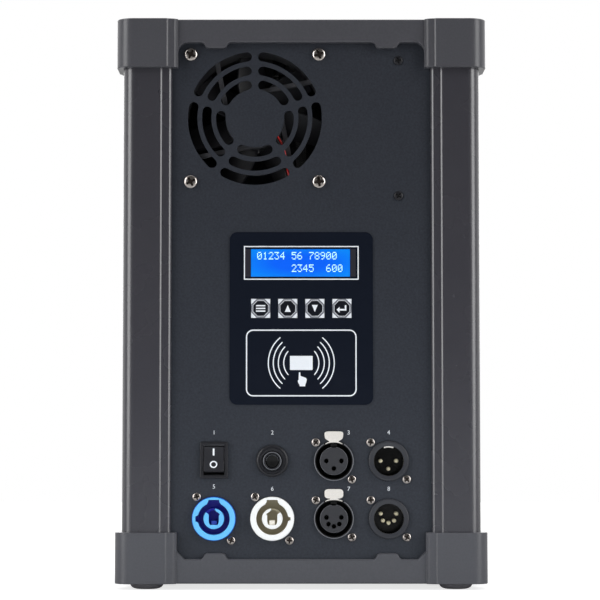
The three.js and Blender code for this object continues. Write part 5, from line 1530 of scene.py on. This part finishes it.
@dataclass
class DataSocket:
    """A female data connector: a thin ring, a deep gap and an insert with contact holes."""

    label: str
    angles: tuple[int, ...]
    radius: float = 11.0
    lip: float = 10.45
    bore: float = 9.85
    insert: float = 7.75
    front: float = -1.7
    insert_front: float = -1.0
    cavity: float = 12
    depth: float = 20
    hole: float = 1.25
    key_width: float = 3.4
    flange: tuple[float, float] = (26, 27.4)

    def shell(self, x: float, z: float) -> None:
        """The ring on its flange, with a seat and a slot for the latch."""
        front, lip, bore = self.front, self.lip, self.bore
        profile = [(bore, self.depth), (bore, front + 1.2), (lip, front + 0.22),
                   *arc(lip + 0.22, front + 0.22, 0.22, 180, 270, 3)[1:],
                   *arc(self.radius - 0.3, front + 0.3, 0.3, 270, 360, 4), (self.radius, self.depth),
                   (bore, self.depth)]
        shell = bushed(f"outlet_{self.label}_ring", x, z, profile, 80)
        mounted(shell, x, z, self.flange, circle(x, z, bore, 80), self.cavity)
        seat = [*arc(x, z, 12, 58, 122, 10), *arc(x, z, 8.7, 118, 62, 10)]
        carved(shell, faced("latch_seat", seat, front - 1, -0.3))
        carved(shell, faced("latch_slot", rectangle(x, z + 14.4, 4.6, 3.8), 1, 11))
        dressed(smoothed(shell, TURNED_ANGLE), SHELL_GREY, nodes=[f"data_out_{self.label}_shell"])
        # Painted shade on the bore walls and in the gap behind the ring's lip.
        lined(shell, SHADE_BLACK, (x, z), lambda away, depth, middle: away < lip + 0.05 and depth > front + 0.3)
        # Painted highlight on the ring's front edge.
        lined(shell, PAINTED_HIGHLIGHT_GREY, (x, z), lambda away, depth, middle: depth < front + 0.26)

    def insert_piece(self, x: float, z: float) -> None:
        """The insert with its key, its notch and its contact holes."""
        crown, wide, back = self.insert_front, self.insert, self.cavity + 3
        body = [(0, crown), (wide - 0.55, crown), *arc(wide - 0.3, crown + 0.25, 0.3, 290, 360, 4),
                (wide, back), (0, back)]
        insert = bushed(f"outlet_{self.label}_insert", x, z, body, 72)
        key = rectangle(x, z + (wide + self.bore) / 2, self.key_width, self.bore - wide + 1)
        built_up(insert, faced("key", key, crown + 0.9, self.cavity))
        carved(insert, faced("notch", rectangle(x, z + wide, 2.6, 0.9), crown - 1, crown + 3))
        cone = [(0, crown - 0.5), (self.hole + 0.65, crown - 0.5), (self.hole, crown + 0.3),
                (self.hole, crown + 9), (0, crown + 9)]
        for angle in self.angles:
            spot = arc(x, z, wide * CONTACT_CIRCLE, angle, angle, 1)[0]
            carved(insert, bushed("contact_hole", *spot, cone, 28))
        smoothed(insert, TURNED_ANGLE)
        built_up(insert, drum("back", x, z, self.radius, self.cavity + 2, self.depth, 48))
        dressed(smoothed(insert, TURNED_ANGLE), INSERT_GREY)
        # Painted shade on the insert's faces behind its front: its sides, key, notch and contact holes.
        lined(insert, SHADE_BLACK, (x, z), lambda away, depth, middle: depth > crown + 0.32)
        # Painted highlight on the insert's front rim.
        lined(insert, PAINTED_HIGHLIGHT_GREY, (x, z), lambda away, depth, middle: depth <= crown + 0.32
              and away > wide - 0.25)

    def build(self) -> None:
        """Makes the shell and the insert and dresses them."""
        place = Place(f"data_out_{self.label}_shell")
        self.shell(place.x, place.z)
        self.insert_piece(place.x, place.z)


@dataclass
class Latch:
    """A nickel release tab over a data socket, with two wings along the ring."""

    label: str
    outline: Outline
    front: float = -2.2
    thickness: float = 0.75
    stem: tuple[float, float] = (4, 2)
    rise: float = 13.8
    length: float = 9

    def build(self) -> None:
        """Makes the tab and dresses it."""
        node, body = f"data_out_{self.label}_latch", f"latch_{self.label}"
        place = Place(node)
        x, row = place.x, place.z - (place.high.z - place.low.z) / 2 + 2.55 - self.rise
        tab = faced(body + "_tab", mirrored(self.outline, x, row), self.front, self.front + self.thickness)
        softened(tab, 0.28, 3, 50)
        built_up(tab, faced("stem", rectangle(x, row + self.rise, *self.stem), self.front + 0.3, self.length))
        dressed(smoothed(tab), NICKEL, body, [node])


@dataclass
class Plug:
    """A male data connector: a broad ring, a glossy cup and gold pins."""

    label: str
    angles: tuple[int, ...]
    spring: bool
    rise: float = 0
    radius: float = 11.1
    bore: float = 8.15
    front: float = -1.9
    cavity: float = 15
    base: float = 2.5
    pin: float = 1.15
    pin_length: float = 8.5
    depth: float = 17.2
    flange: tuple[float, float] = (26, 27.4)

    def build(self) -> None:
        """Makes the connector and dresses it."""
        node, name = f"data_in_{self.label}", f"inlet_{self.label}"
        place = Place(node + "_shell")
        x, z, crest, bore = place.x, place.z, self.front, self.bore
        profile = [(bore, self.depth), (bore, crest + 0.55), (bore + 0.12, crest + 0.3),
                   (bore + 0.45, crest + 0.22), (self.radius - 1.15, crest),
                   *arc(self.radius - 0.7, crest + 0.7, 0.7, 270, 360, 5), (self.radius, self.depth),
                   (bore, self.depth)]
        shell = bushed(f"{name}_ring", x, z, profile, 80)
        mounted(shell, x, z, self.flange, place.circle(bore, 80), self.cavity)
        dressed(smoothed(shell, TURNED_ANGLE), SHELL_GREY, nodes=[node + "_shell"])
        # Painted shade: the cup's inner wall is laid in near black.
        lined(shell, CUP_BLACK_AND_SHADE, (x, z), lambda away, depth, middle: away < bore + 0.1 and depth > crest + 0.4)
        back = self.cavity - 0.2
        level = back - self.base
        dressed(smoothed(drum(f"{name}_insulator", x, z, bore - 0.05, level, self.depth, 64)), CUP_BLACK_AND_SHADE)
        tip, end = level - self.pin_length, back + 1.5
        pin = [(0, tip), *arc(self.pin - 0.55, tip + 0.55, 0.55, 270, 360, 5), (self.pin, end), (0, end)]
        spots = [arc(x, z + self.rise, bore * CONTACT_CIRCLE, angle, angle, 1)[0] for angle in self.angles]
        pins = joined(f"{name}_pins", [bushed("pin", *spot, pin, 28) for spot in spots])
        dressed(smoothed(pins), GOLD, nodes=[node + "_contacts"])
        if self.spring:
            band = [*arc(x, z, bore + 0.05, 70, 110, 12), *arc(x, z, bore - 0.75, 110, 70, 12)]
            dressed(softened(faced(f"{name}_spring", band, crest + 0.75, crest + 4.5), 0.15), NICKEL)


@dataclass
class Connectors:
    """The six connectors, their latches and their screws."""

    three_pins: tuple[int, ...] = (180, 0, -90)
    five_pins: tuple[int, ...] = (170, 10, 225, -45, -90)
    power_screw: Point = (9.5, 12)
    data_screw: Point = (9.95, 10.2)

    def screws(self) -> None:
        """Two screws in opposite corners of each flange, each cross turned another way."""
        screw = CrossHeadScrew(2.3, 1.2, 1.4, 3, BRIGHT_SCREW, RECESS_SHADE, 0.85, 0.75, 0.74, 2.0)
        turn = 17.0
        for node in ("power_in_socket", "power_out_socket", "data_out_3pin_shell", "data_out_5pin_shell",
                     "data_in_3pin_shell", "data_in_5pin_shell"):
            power = "power" in node
            x, z = Place(node).x, Place("data_in_5pin_shell" if power else node).z
            reach_x, reach_z = self.power_screw if power else self.data_screw
            for side, label in ((-1, "upper"), (1, "lower")):
                screw.build(f"{node}_{label}_screw", x + side * reach_x, z - side * reach_z, -0.2, turn)
                turn = (turn + 53) % 90

    def build(self) -> None:
        """Builds the connectors, then the latches and the screws."""
        PowerSocket("power_in_socket", 1, BLUE, BLUE_PAINTED_SHADE, BLUE_EDGE_SHADE, BLUE_STEP_SHADE, 1.6).build()
        PowerSocket("power_out_socket", -1, WHITE, WHITE_PAINTED_SHADE, WHITE, WHITE_STEP_GLOW, 1.0).build()
        DataSocket("3pin", self.three_pins).build()
        Plug("3pin", self.three_pins, True).build()
        DataSocket("5pin", self.five_pins).build()
        Plug("5pin", self.five_pins, False, 1.9).build()
        Latch("3pin", [(0, 16.35), (3.4, 16.3), (4.6, 16.05), (5.15, 15.5), (5.2, 14.6), (5.05, 13.2),
                       (4.8, 12.4), (4.2, 11.8), (3.1, 11.2), (2.7, 10.9), (2.65, 10.55), (3.4, 10.3),
                       (4.8, 9.5), (4.65, 9.15), (3.2, 9.8), (1.8, 10.1), (0, 10.2)]).build()
        Latch("5pin", [(0, 16.35), (3.4, 16.35), (4.5, 16.0), (5.1, 15.2), (5.2, 13.8), (5.1, 12.4),
                       (4.5, 11.6), (3.4, 11.2), (2.3, 11.1), (2.1, 10.8), (3.3, 10.5), (4.8, 9.85),
                       (4.7, 9.4), (3.2, 9.95), (1.8, 10.2), (0, 10.3)]).build()
        self.screws()


# Fan, behind the grille


@dataclass
class Fan:
    """An axial fan: a square frame with four struts, a bladed rotor and its lead."""

    size: float = 80
    depth: float = 25
    front: float = BEHIND
    bore: float = 38
    hub: float = 16.5
    duct: float = 39.6
    flange: float = 4
    screw_hole: float = 2.1
    hole_spacing: float = 71.5
    strut_width: float = 2.7
    strut_start: Point = (16.2, 0)
    strut_end: Point = (22.7, -31.8)
    strut_sink: float = 2.6
    strut_depth: float = 2.4
    groove_ends: tuple[Point, Point] = ((17.6, -30.0), (24.6, -43.0))
    blades: int = 7
    pitch: float = 38
    turn: float = 6
    tip: float = 37.1
    wire: float = 0.62

    @staticmethod
    def bar(start: Point, end: Point, low: float, high: float) -> Outline:
        """A straight bar along a line; low and high are its sides' places across the line."""
        way = Vector((end[0] - start[0], end[1] - start[1])).normalized()
        side = Vector((-way.y, way.x))
        corners = ((start, -high), (end, -high), (end, -low), (start, -low))
        return [(point[0] + side.x * shift, point[1] + side.y * shift) for point, shift in corners]

    def frame_piece(self, x: float, z: float) -> None:
        """The frame with its struts and hub seat."""
        front, back, bore = self.front, self.front + self.depth, self.bore
        reach = self.hole_spacing / 2
        corners = [(u, v) for u in (-reach, reach) for v in (-reach, reach)]
        outline = rounded(x, z, self.size, self.size, 4, 5)
        body = faced("fan_housing", outline, front, front + self.flange)
        built_up(body, faced("rear", outline, back - self.flange, back),
                 faced("duct", circle(x, z, self.duct, 88), front + 1, back - 1))
        hollow = [(0, front - 1), (bore + 0.6, front - 1), (bore, front + 1.4), (bore, back - 1.4),
                  (bore + 0.6, back + 1), (0, back + 1)]
        carved(body, bushed("bore", x, z, hollow, 88))
        carved(body, *[faced("hole", circle(x + u, z + v, self.screw_hole, 24), front - 1, back + 1)
                       for u, v in corners])
        level = front + self.strut_sink
        built_up(body, faced("seat", circle(x, z, self.hub, 64), level, level + 2.4))
        bar = shifted(self.bar(self.strut_start, self.strut_end, 0, self.strut_width), x, z)
        for i in range(4):
            strut = faced("strut", swung(bar, (x, z), 90 * i), level, level + self.strut_depth)
            built_up(body, softened(strut, 0.35))
        groove = shifted(self.bar(*self.groove_ends, -1.7, 1.7), x, z)
        carved(body, faced("groove", groove, front - 1, level))
        carved(body, drum("bearing", x, z, 2.2, level - 1, level + 3, 32))
        dressed(softened(body, 0.15, 2, 50), FAN_BLACK, nodes=["fan_frame"])

    def rotor(self, x: float, z: float) -> None:
        """The hub with its swept, tilted blades."""
        level = self.front + self.strut_sink + 2.4
        front, back, hub = level + 0.3, self.front + self.depth - 0.6, self.hub
        middle = (front + back) / 2
        wheel = bushed("fan_wheel", x, z, [(0, front), (hub - 1.2, front), (hub, front + 1.2),
                                           (hub, back - 0.6), (hub - 0.6, back), (0, back)], 72)
        built_up(wheel, drum("shaft", x, z, 1.9, level - 2.2, front + 1, 24))
        outline = [(hub - 2, -8.5), *[(r, -9.5 - 2.5 * ((r - hub) / 21) ** 2) for r in (20, 26, 32, 40)],
                   *[(r, 9.5 - 4.5 * ((r - hub) / 21) ** 2) for r in (40, 32, 26, 20)], (hub - 2, 8.5)]
        root = Facing.INWARD.spot(x, z, FACE + middle)
        for i in range(self.blades):
            vane = faced("vane", shifted(outline, x, z), middle - 0.7, middle + 0.7)
            softened(vane, 0.3)
            spun(vane, self.pitch, "X", root)
            spun(vane, 360 / self.blades * i + self.turn, "Y", root)
            combined(vane, [drum("sweep", x, z, self.tip, front + 0.4, back - 0.4, 72)], "INTERSECT")
            built_up(wheel, vane)
        dressed(smoothed(wheel, TURNED_ANGLE), BLADE_BLACK, "fan_spinner", ["fan_rotor"])

    def wires(self, x: float, z: float) -> None:
        """The red and the black wire beside the right strut, down to the control board."""
        route = [(11.2, 3.4, -9.0), (14.2, 2.9, -13.4), (16.7, 2.9, -19.7), (17.2, 2.9, -30.2),
                 (20.8, 2.9, -37), (26.5, 2.9, -44), (36, 4, -49.5), (44.5, 6, -53), (47.6, 8, -57),
                 (48, 8.2, -61.5)]
        for name, finish, shift, nodes in (("fan_wire_red", LEAD_RED, 0.72, ["fan_lead"]),
                                           ("fan_wire_black", LEAD_BLACK, -0.72, [])):
            spots = []
            for i, (u, depth, v) in enumerate(route):
                before, after = route[max(i - 1, 0)], route[min(i + 1, len(route) - 1)]
                way = Vector((after[0] - before[0], after[2] - before[2])).normalized()
                spots.append(Facing.INWARD.spot(x + u - way.y * shift, z + v + way.x * shift, FACE + depth))
            dressed(self.wire_piece(name, spots), finish, nodes=nodes)

    def wire_piece(self, name: str, spots: Sequence[Vector]) -> Piece:
        """One round wire through a list of places."""
        bpy.ops.object.select_all(action="DESELECT")
        bpy.ops.curve.primitive_nurbs_path_add()
        data = bpy.context.active_object.data
        data.splines.remove(data.splines[0])
        spline = data.splines.new("NURBS")
        spline.points.add(len(spots) - 1)
        for point, spot in zip(spline.points, spots):
            point.co = (*spot, 1)
        spline.use_endpoint_u = True
        spline.order_u = 4
        spline.resolution_u = 8
        data.dimensions = "3D"
        data.bevel_depth = self.wire * MM
        data.bevel_resolution = 3
        data.use_fill_caps = True
        bpy.ops.object.convert(target="MESH")
        return smoothed(named(bpy.context.active_object, name))

    def build(self) -> None:
        """Makes the fan and its screws and dresses them."""
        place = Place("fan_frame")
        x, z = place.x, place.z
        self.frame_piece(x, z)
        self.rotor(x, z)
        self.wires(x, z)
        screw = CrossHeadScrew(3.6, 1.8, 1.9, 9, BRIGHT_SCREW, RECESS_SHADE, 1.25, 1.0, 0.72, 2.1)
        for i, turn in zip(range(1, 5), (28, 8, 62, 20)):
            spot = Place(f"fan_screw_{i}")
            screw.build(f"grille_screw_{i}", spot.x, spot.z, -0.2, turn, [f"fan_screw_{i}"])


# Top


@dataclass
class Nozzle:
    """The stainless ring that the sparks leave by."""

    radius: float = 28
    bore: float = 11
    collar: float = 17
    inner: float = 13.2
    counterbore: float = 5

    def build(self) -> None:
        """Makes the ring and dresses it."""
        place = Place("nozzle_ring")
        low, high, bore, radius = place.low.z, place.high.z, self.bore, self.radius
        seat, step = high - 2.6, low + self.counterbore
        profile = [(self.inner, low), (self.collar, low), (self.collar, seat), (radius - 0.2, seat),
                   (radius, seat + 0.2), (radius, high - 1.0), *arc(radius - 0.8, high - 0.8, 0.8, 0, 90, 5),
                   (21.5, high), (21.1, high - 0.25), (20.7, high), (bore + 1.8, high),
                   *arc(bore + 1.8, high - 1.8, 1.8, 90, 180, 6), (bore, step), (self.inner, step),
                   (self.inner, low)]
        ring = turned("spark_nozzle", Facing.UPWARD, (place.x, place.y), profile, 96)
        dressed(smoothed(ring, TURNED_ANGLE), RING_STEEL, nodes=["nozzle_ring"])


@dataclass
class HopperLid:
    """The filler lid with its finger tab, and the pin that it swings on."""

    depth: float = 50
    thickness: float = 2.5
    corner: float = 3
    tab: tuple[float, float, float] = (14, 10, 2.5)
    knuckle: float = 20
    knuckle_radius: float = 2.1
    bore: float = 1.5
    pin: float = 1.2
    pin_head: float = 2.0

    def leaf(self, place: Place, axis: Point) -> Piece:
        """The lid with its finger tab and the knuckle behind it."""
        x, under, end = place.x, place.low.z, self.depth / 2
        top, left, right = under + self.thickness, x - self.knuckle / 2, x + self.knuckle / 2
        outline = rounded(x, 0, place.high.x - place.low.x, self.depth, self.corner, 6)
        leaf = softened(prism("filler_lid", Facing.UPWARD, outline, under, top), 0.5, 3)
        width, length, radius = self.tab
        tongue = prism("tab", Facing.UPWARD, rounded(x, -end, width, length, radius, 5), under + 1.25, top)
        back = [(end - 1.5, under), (axis[0], under), (axis[0], top), (end - 1.5, top)]
        built_up(leaf, softened(tongue, 0.3), prism("bridge", Facing.SIDEWAYS, back, left, right),
                 prism("barrel", Facing.SIDEWAYS, circle(*axis, self.knuckle_radius, 32), left, right))
        carved(leaf, prism("bore", Facing.SIDEWAYS, circle(*axis, self.bore, 24), x - self.knuckle,
                           x + self.knuckle))
        return smoothed(leaf, TURNED_ANGLE)

    def build(self) -> None:
        """Makes the lid and the pin and dresses them."""
        rod = Place("lid_hinge_pin")
        axis = (rod.y, rod.z)
        dressed(self.leaf(Place("hopper_lid"), axis), POWDER, "lid", ["hopper_lid"])
        low, high, radius, head = rod.low.x, rod.high.x, self.pin, self.pin_head
        profile = [(0, low), (radius - 0.3, low), (radius, low + 0.3), (radius, high - 1.2),
                   (head, high - 1.2), (head, high - 0.5), (head - 0.5, high), (0, high)]
        pin = smoothed(turned("hinge_rod", Facing.SIDEWAYS, axis, profile, 32), TURNED_ANGLE)
        dressed(pin, ZINC, nodes=["lid_hinge_pin"])


# Labels and the pieces inside


@dataclass
class PanelScrews:
    """The two small black screws in the panel's dimples."""

    turns: tuple[float, float] = (12, 55)

    def build(self) -> None:
        """Makes both screws and dresses them."""
        # The cross recess gets painted shade in near black.
        screw = CrossHeadScrew(2.4, 0.95, 1.3, 4, BLACK, SHADE_BLACK, 0.75, 0.7, 0.7, 1.5)
        for label, (x, z), turn in zip(("upper", "lower"), ControlPanel().screws, self.turns):
            screw.build(f"panel_screw_{label}", x, z, 0.45, turn)


@dataclass
class Labels:
    """Plain numbers over the controls."""

    height: float = 2.3
    rise: float = 15.6
    lower_rise: float = 16.4
    first_lower_rise: float = 17.6
    aside: float = 8.2

    def build(self) -> None:
        """Prints a number over each control, and beside the latches."""
        columns = [Place(node).x for node in ("rocker_housing", "breaker_body", "data_out_3pin_shell",
                                              "data_in_3pin_shell")]
        lower = (self.first_lower_rise, *[self.lower_rise] * 3)
        for row, (node, rises) in enumerate((("data_in_3pin_shell", [self.rise] * 4),
                                             ("data_in_5pin_shell", lower))):
            for column, (x, rise) in enumerate(zip(columns, rises)):
                number = str(row * 4 + column + 1)
                aside = self.aside if column == 2 else 0
                lettering(f"label_{number}", number, self.height, x + aside, Place(node).z + rise, LABEL)


class InnerPieces:
    """The construction nodes inside the case, which stay and get finishes."""

    FINISHES = {"chassis_deck": SHEET_ZINC, "power_supply": SHEET_ZINC, "blower_housing": FAN_BLACK,
                "blower_impeller": BLADE_BLACK, "auger_housing": SHELL_GREY, "feed_gearmotor": SHEET_ZINC,
                "feed_auger": STEEL, "hopper": STEEL, "chimney_tube": STEEL, "heating_tube": STEEL,
                "insulation_sleeve": CERAMIC, "induction_coil": COPPER, "induction_driver": BOARD,
                "control_board": BOARD}

    def build(self) -> None:
        """Gives each piece its finish."""
        for node, finish in self.FINISHES.items():
            kept(node, finish)


# Stage


@dataclass
class Softbox:
    """A large soft lamp that looks at the object."""

    name: str
    spot: tuple[float, float, float]
    size: tuple[float, float]
    power: float
    tint: tuple[float, float, float] = (1, 1, 1)
    target: tuple[float, float, float] = (0, 0, 0.16)
    mirrored: bool = True

    def build(self) -> None:
        """Adds the lamp and turns it to its target."""
        bpy.ops.object.light_add(type="AREA", location=self.spot)
        lamp = bpy.context.active_object
        lamp.name = self.name
        lamp.data.shape = "RECTANGLE"
        lamp.data.size, lamp.data.size_y = self.size
        lamp.data.energy = self.power
        lamp.data.color = self.tint
        aim = Vector(self.target) - Vector(self.spot)
        lamp.rotation_euler = aim.to_track_quat("-Z", "Y").to_euler()
        lamp.visible_camera = False
        lamp.visible_glossy = self.mirrored


@dataclass
class Stage:
    """Camera, floor, world and lamps, as in a plain product shot on white."""

    camera_spot: tuple[float, float, float] = (-0.00072, -1.39308, 0.08064)
    camera_pitch: float = 3.5
    lens: float = 140.4
    sensor: float = 36
    floor_size: float = 3.6
    floor_tone: float = 0.6
    floor_glow: float = 0.75
    fill: float = 0.12
    front_gloss: float = 0.04

    def camera(self) -> None:
        """Adds the camera at the photograph's angle."""
        tilt = (math.radians(90 + self.camera_pitch), 0, 0)
        bpy.ops.object.camera_add(location=self.camera_spot, rotation=tilt)
        camera = bpy.context.active_object
        camera.name = "camera"
        camera.data.lens = self.lens
        camera.data.sensor_width = self.sensor
        camera.data.sensor_fit = "HORIZONTAL"
        bpy.context.scene.camera = camera

    def floor(self) -> None:
        """Adds a white floor that keeps the object's shadow."""
        bpy.ops.object.select_all(action="DESELECT")
        bpy.ops.mesh.primitive_plane_add(size=self.floor_size)
        plane = bpy.context.active_object
        plane.name = "floor"
        nodes = Nodes("studio_floor")
        seen = nodes.add("ShaderNodeLightPath").outputs["Is Camera Ray"]
        nodes.feed(Base_Color=(*[self.floor_tone] * 3, 1), Roughness=0.9, Specular_IOR_Level=0,
                   Emission_Color=(1, 1, 1, 1),
                   Emission_Strength=maths(nodes.tree, "MULTIPLY", seen, self.floor_glow))
        plane.data.materials.append(nodes.material)

    def world(self) -> None:
        """A white surround for what looks at it, and an even fill for what it lights."""
        world = bpy.data.worlds.new("studio")
        bpy.context.scene.world = world
        world.use_nodes = True
        tree = world.node_tree
        path = tree.nodes.new("ShaderNodeLightPath").outputs
        split = tree.nodes.new("ShaderNodeSeparateXYZ")
        wired(tree, split.inputs[0], tree.nodes.new("ShaderNodeTexCoord").outputs["Generated"])
        behind = tree.nodes.new("ShaderNodeMapRange")
        ends = {"Value": split.outputs["Y"], "From Min": -0.25, "From Max": 0.35, "To Min": self.front_gloss,
                "To Max": 1.0}
        for name, value in ends.items():
            wired(tree, behind.inputs[name], value)
        shiny = maths(tree, "MAXIMUM", path["Is Glossy Ray"], path["Is Transmission Ray"])
        mirrored_light = maths(tree, "MULTIPLY", shiny, behind.outputs["Result"])
        seen = maths(tree, "MAXIMUM", path["Is Camera Ray"], mirrored_light)
        fill = maths(tree, "MULTIPLY", path["Is Diffuse Ray"], self.fill)
        background = tree.nodes["Background"].inputs
        wired(tree, background["Strength"], maths(tree, "MAXIMUM", seen, fill))
        wired(tree, background["Color"], (1, 1, 1, 1))

    def build(self) -> None:
        """Sets the stage."""
        bpy.context.scene.view_settings.view_transform = "Standard"
        self.camera()
        self.floor()
        self.world()
        Softbox("softbox_left", (-1.25, -0.75, 0.5), (0.7, 1.7), 15).build()
        Softbox("softbox_right", (1.25, -0.75, 0.5), (0.7, 1.7), 15).build()
        Softbox("top_light", (0, 0.2, 1.7), (1.6, 1.2), 10).build()
        Softbox("table_bounce", (0, -0.3, 0.01), (0.6, 0.1), 0.5, (0.86, 0.94, 1), (0, -0.1, 0.02),
                False).build()
        Softbox("rear_fill", (0, 2.2, 1.0), (2.4, 1.6), 26).build()


def main() -> None:
    """Builds the scene in order."""
    logging.basicConfig(level=logging.INFO, format="%(message)s")
    top = EndFrame("top_frame", True, 27.3, 13.1)
    bottom = EndFrame("bottom_frame", False, 28.3, 13.6, fillet=4.4, fillet_steps=1)
    assemblies = (Stage(), top, bottom, CornerPosts(), Feet(), CoverPlates(), SidePanels(), ControlPanel(),
                  Overlay(), Display(), Keys(), RockerSwitch(), Breaker(), Fan(), Nozzle(), HopperLid(),
                  Labels(), Connectors(), PanelScrews(), InnerPieces())
    for assembly in assemblies:
        log.info("building %s", type(assembly).__name__)
        assembly.build()


if __name__ == "__main__":
    main()
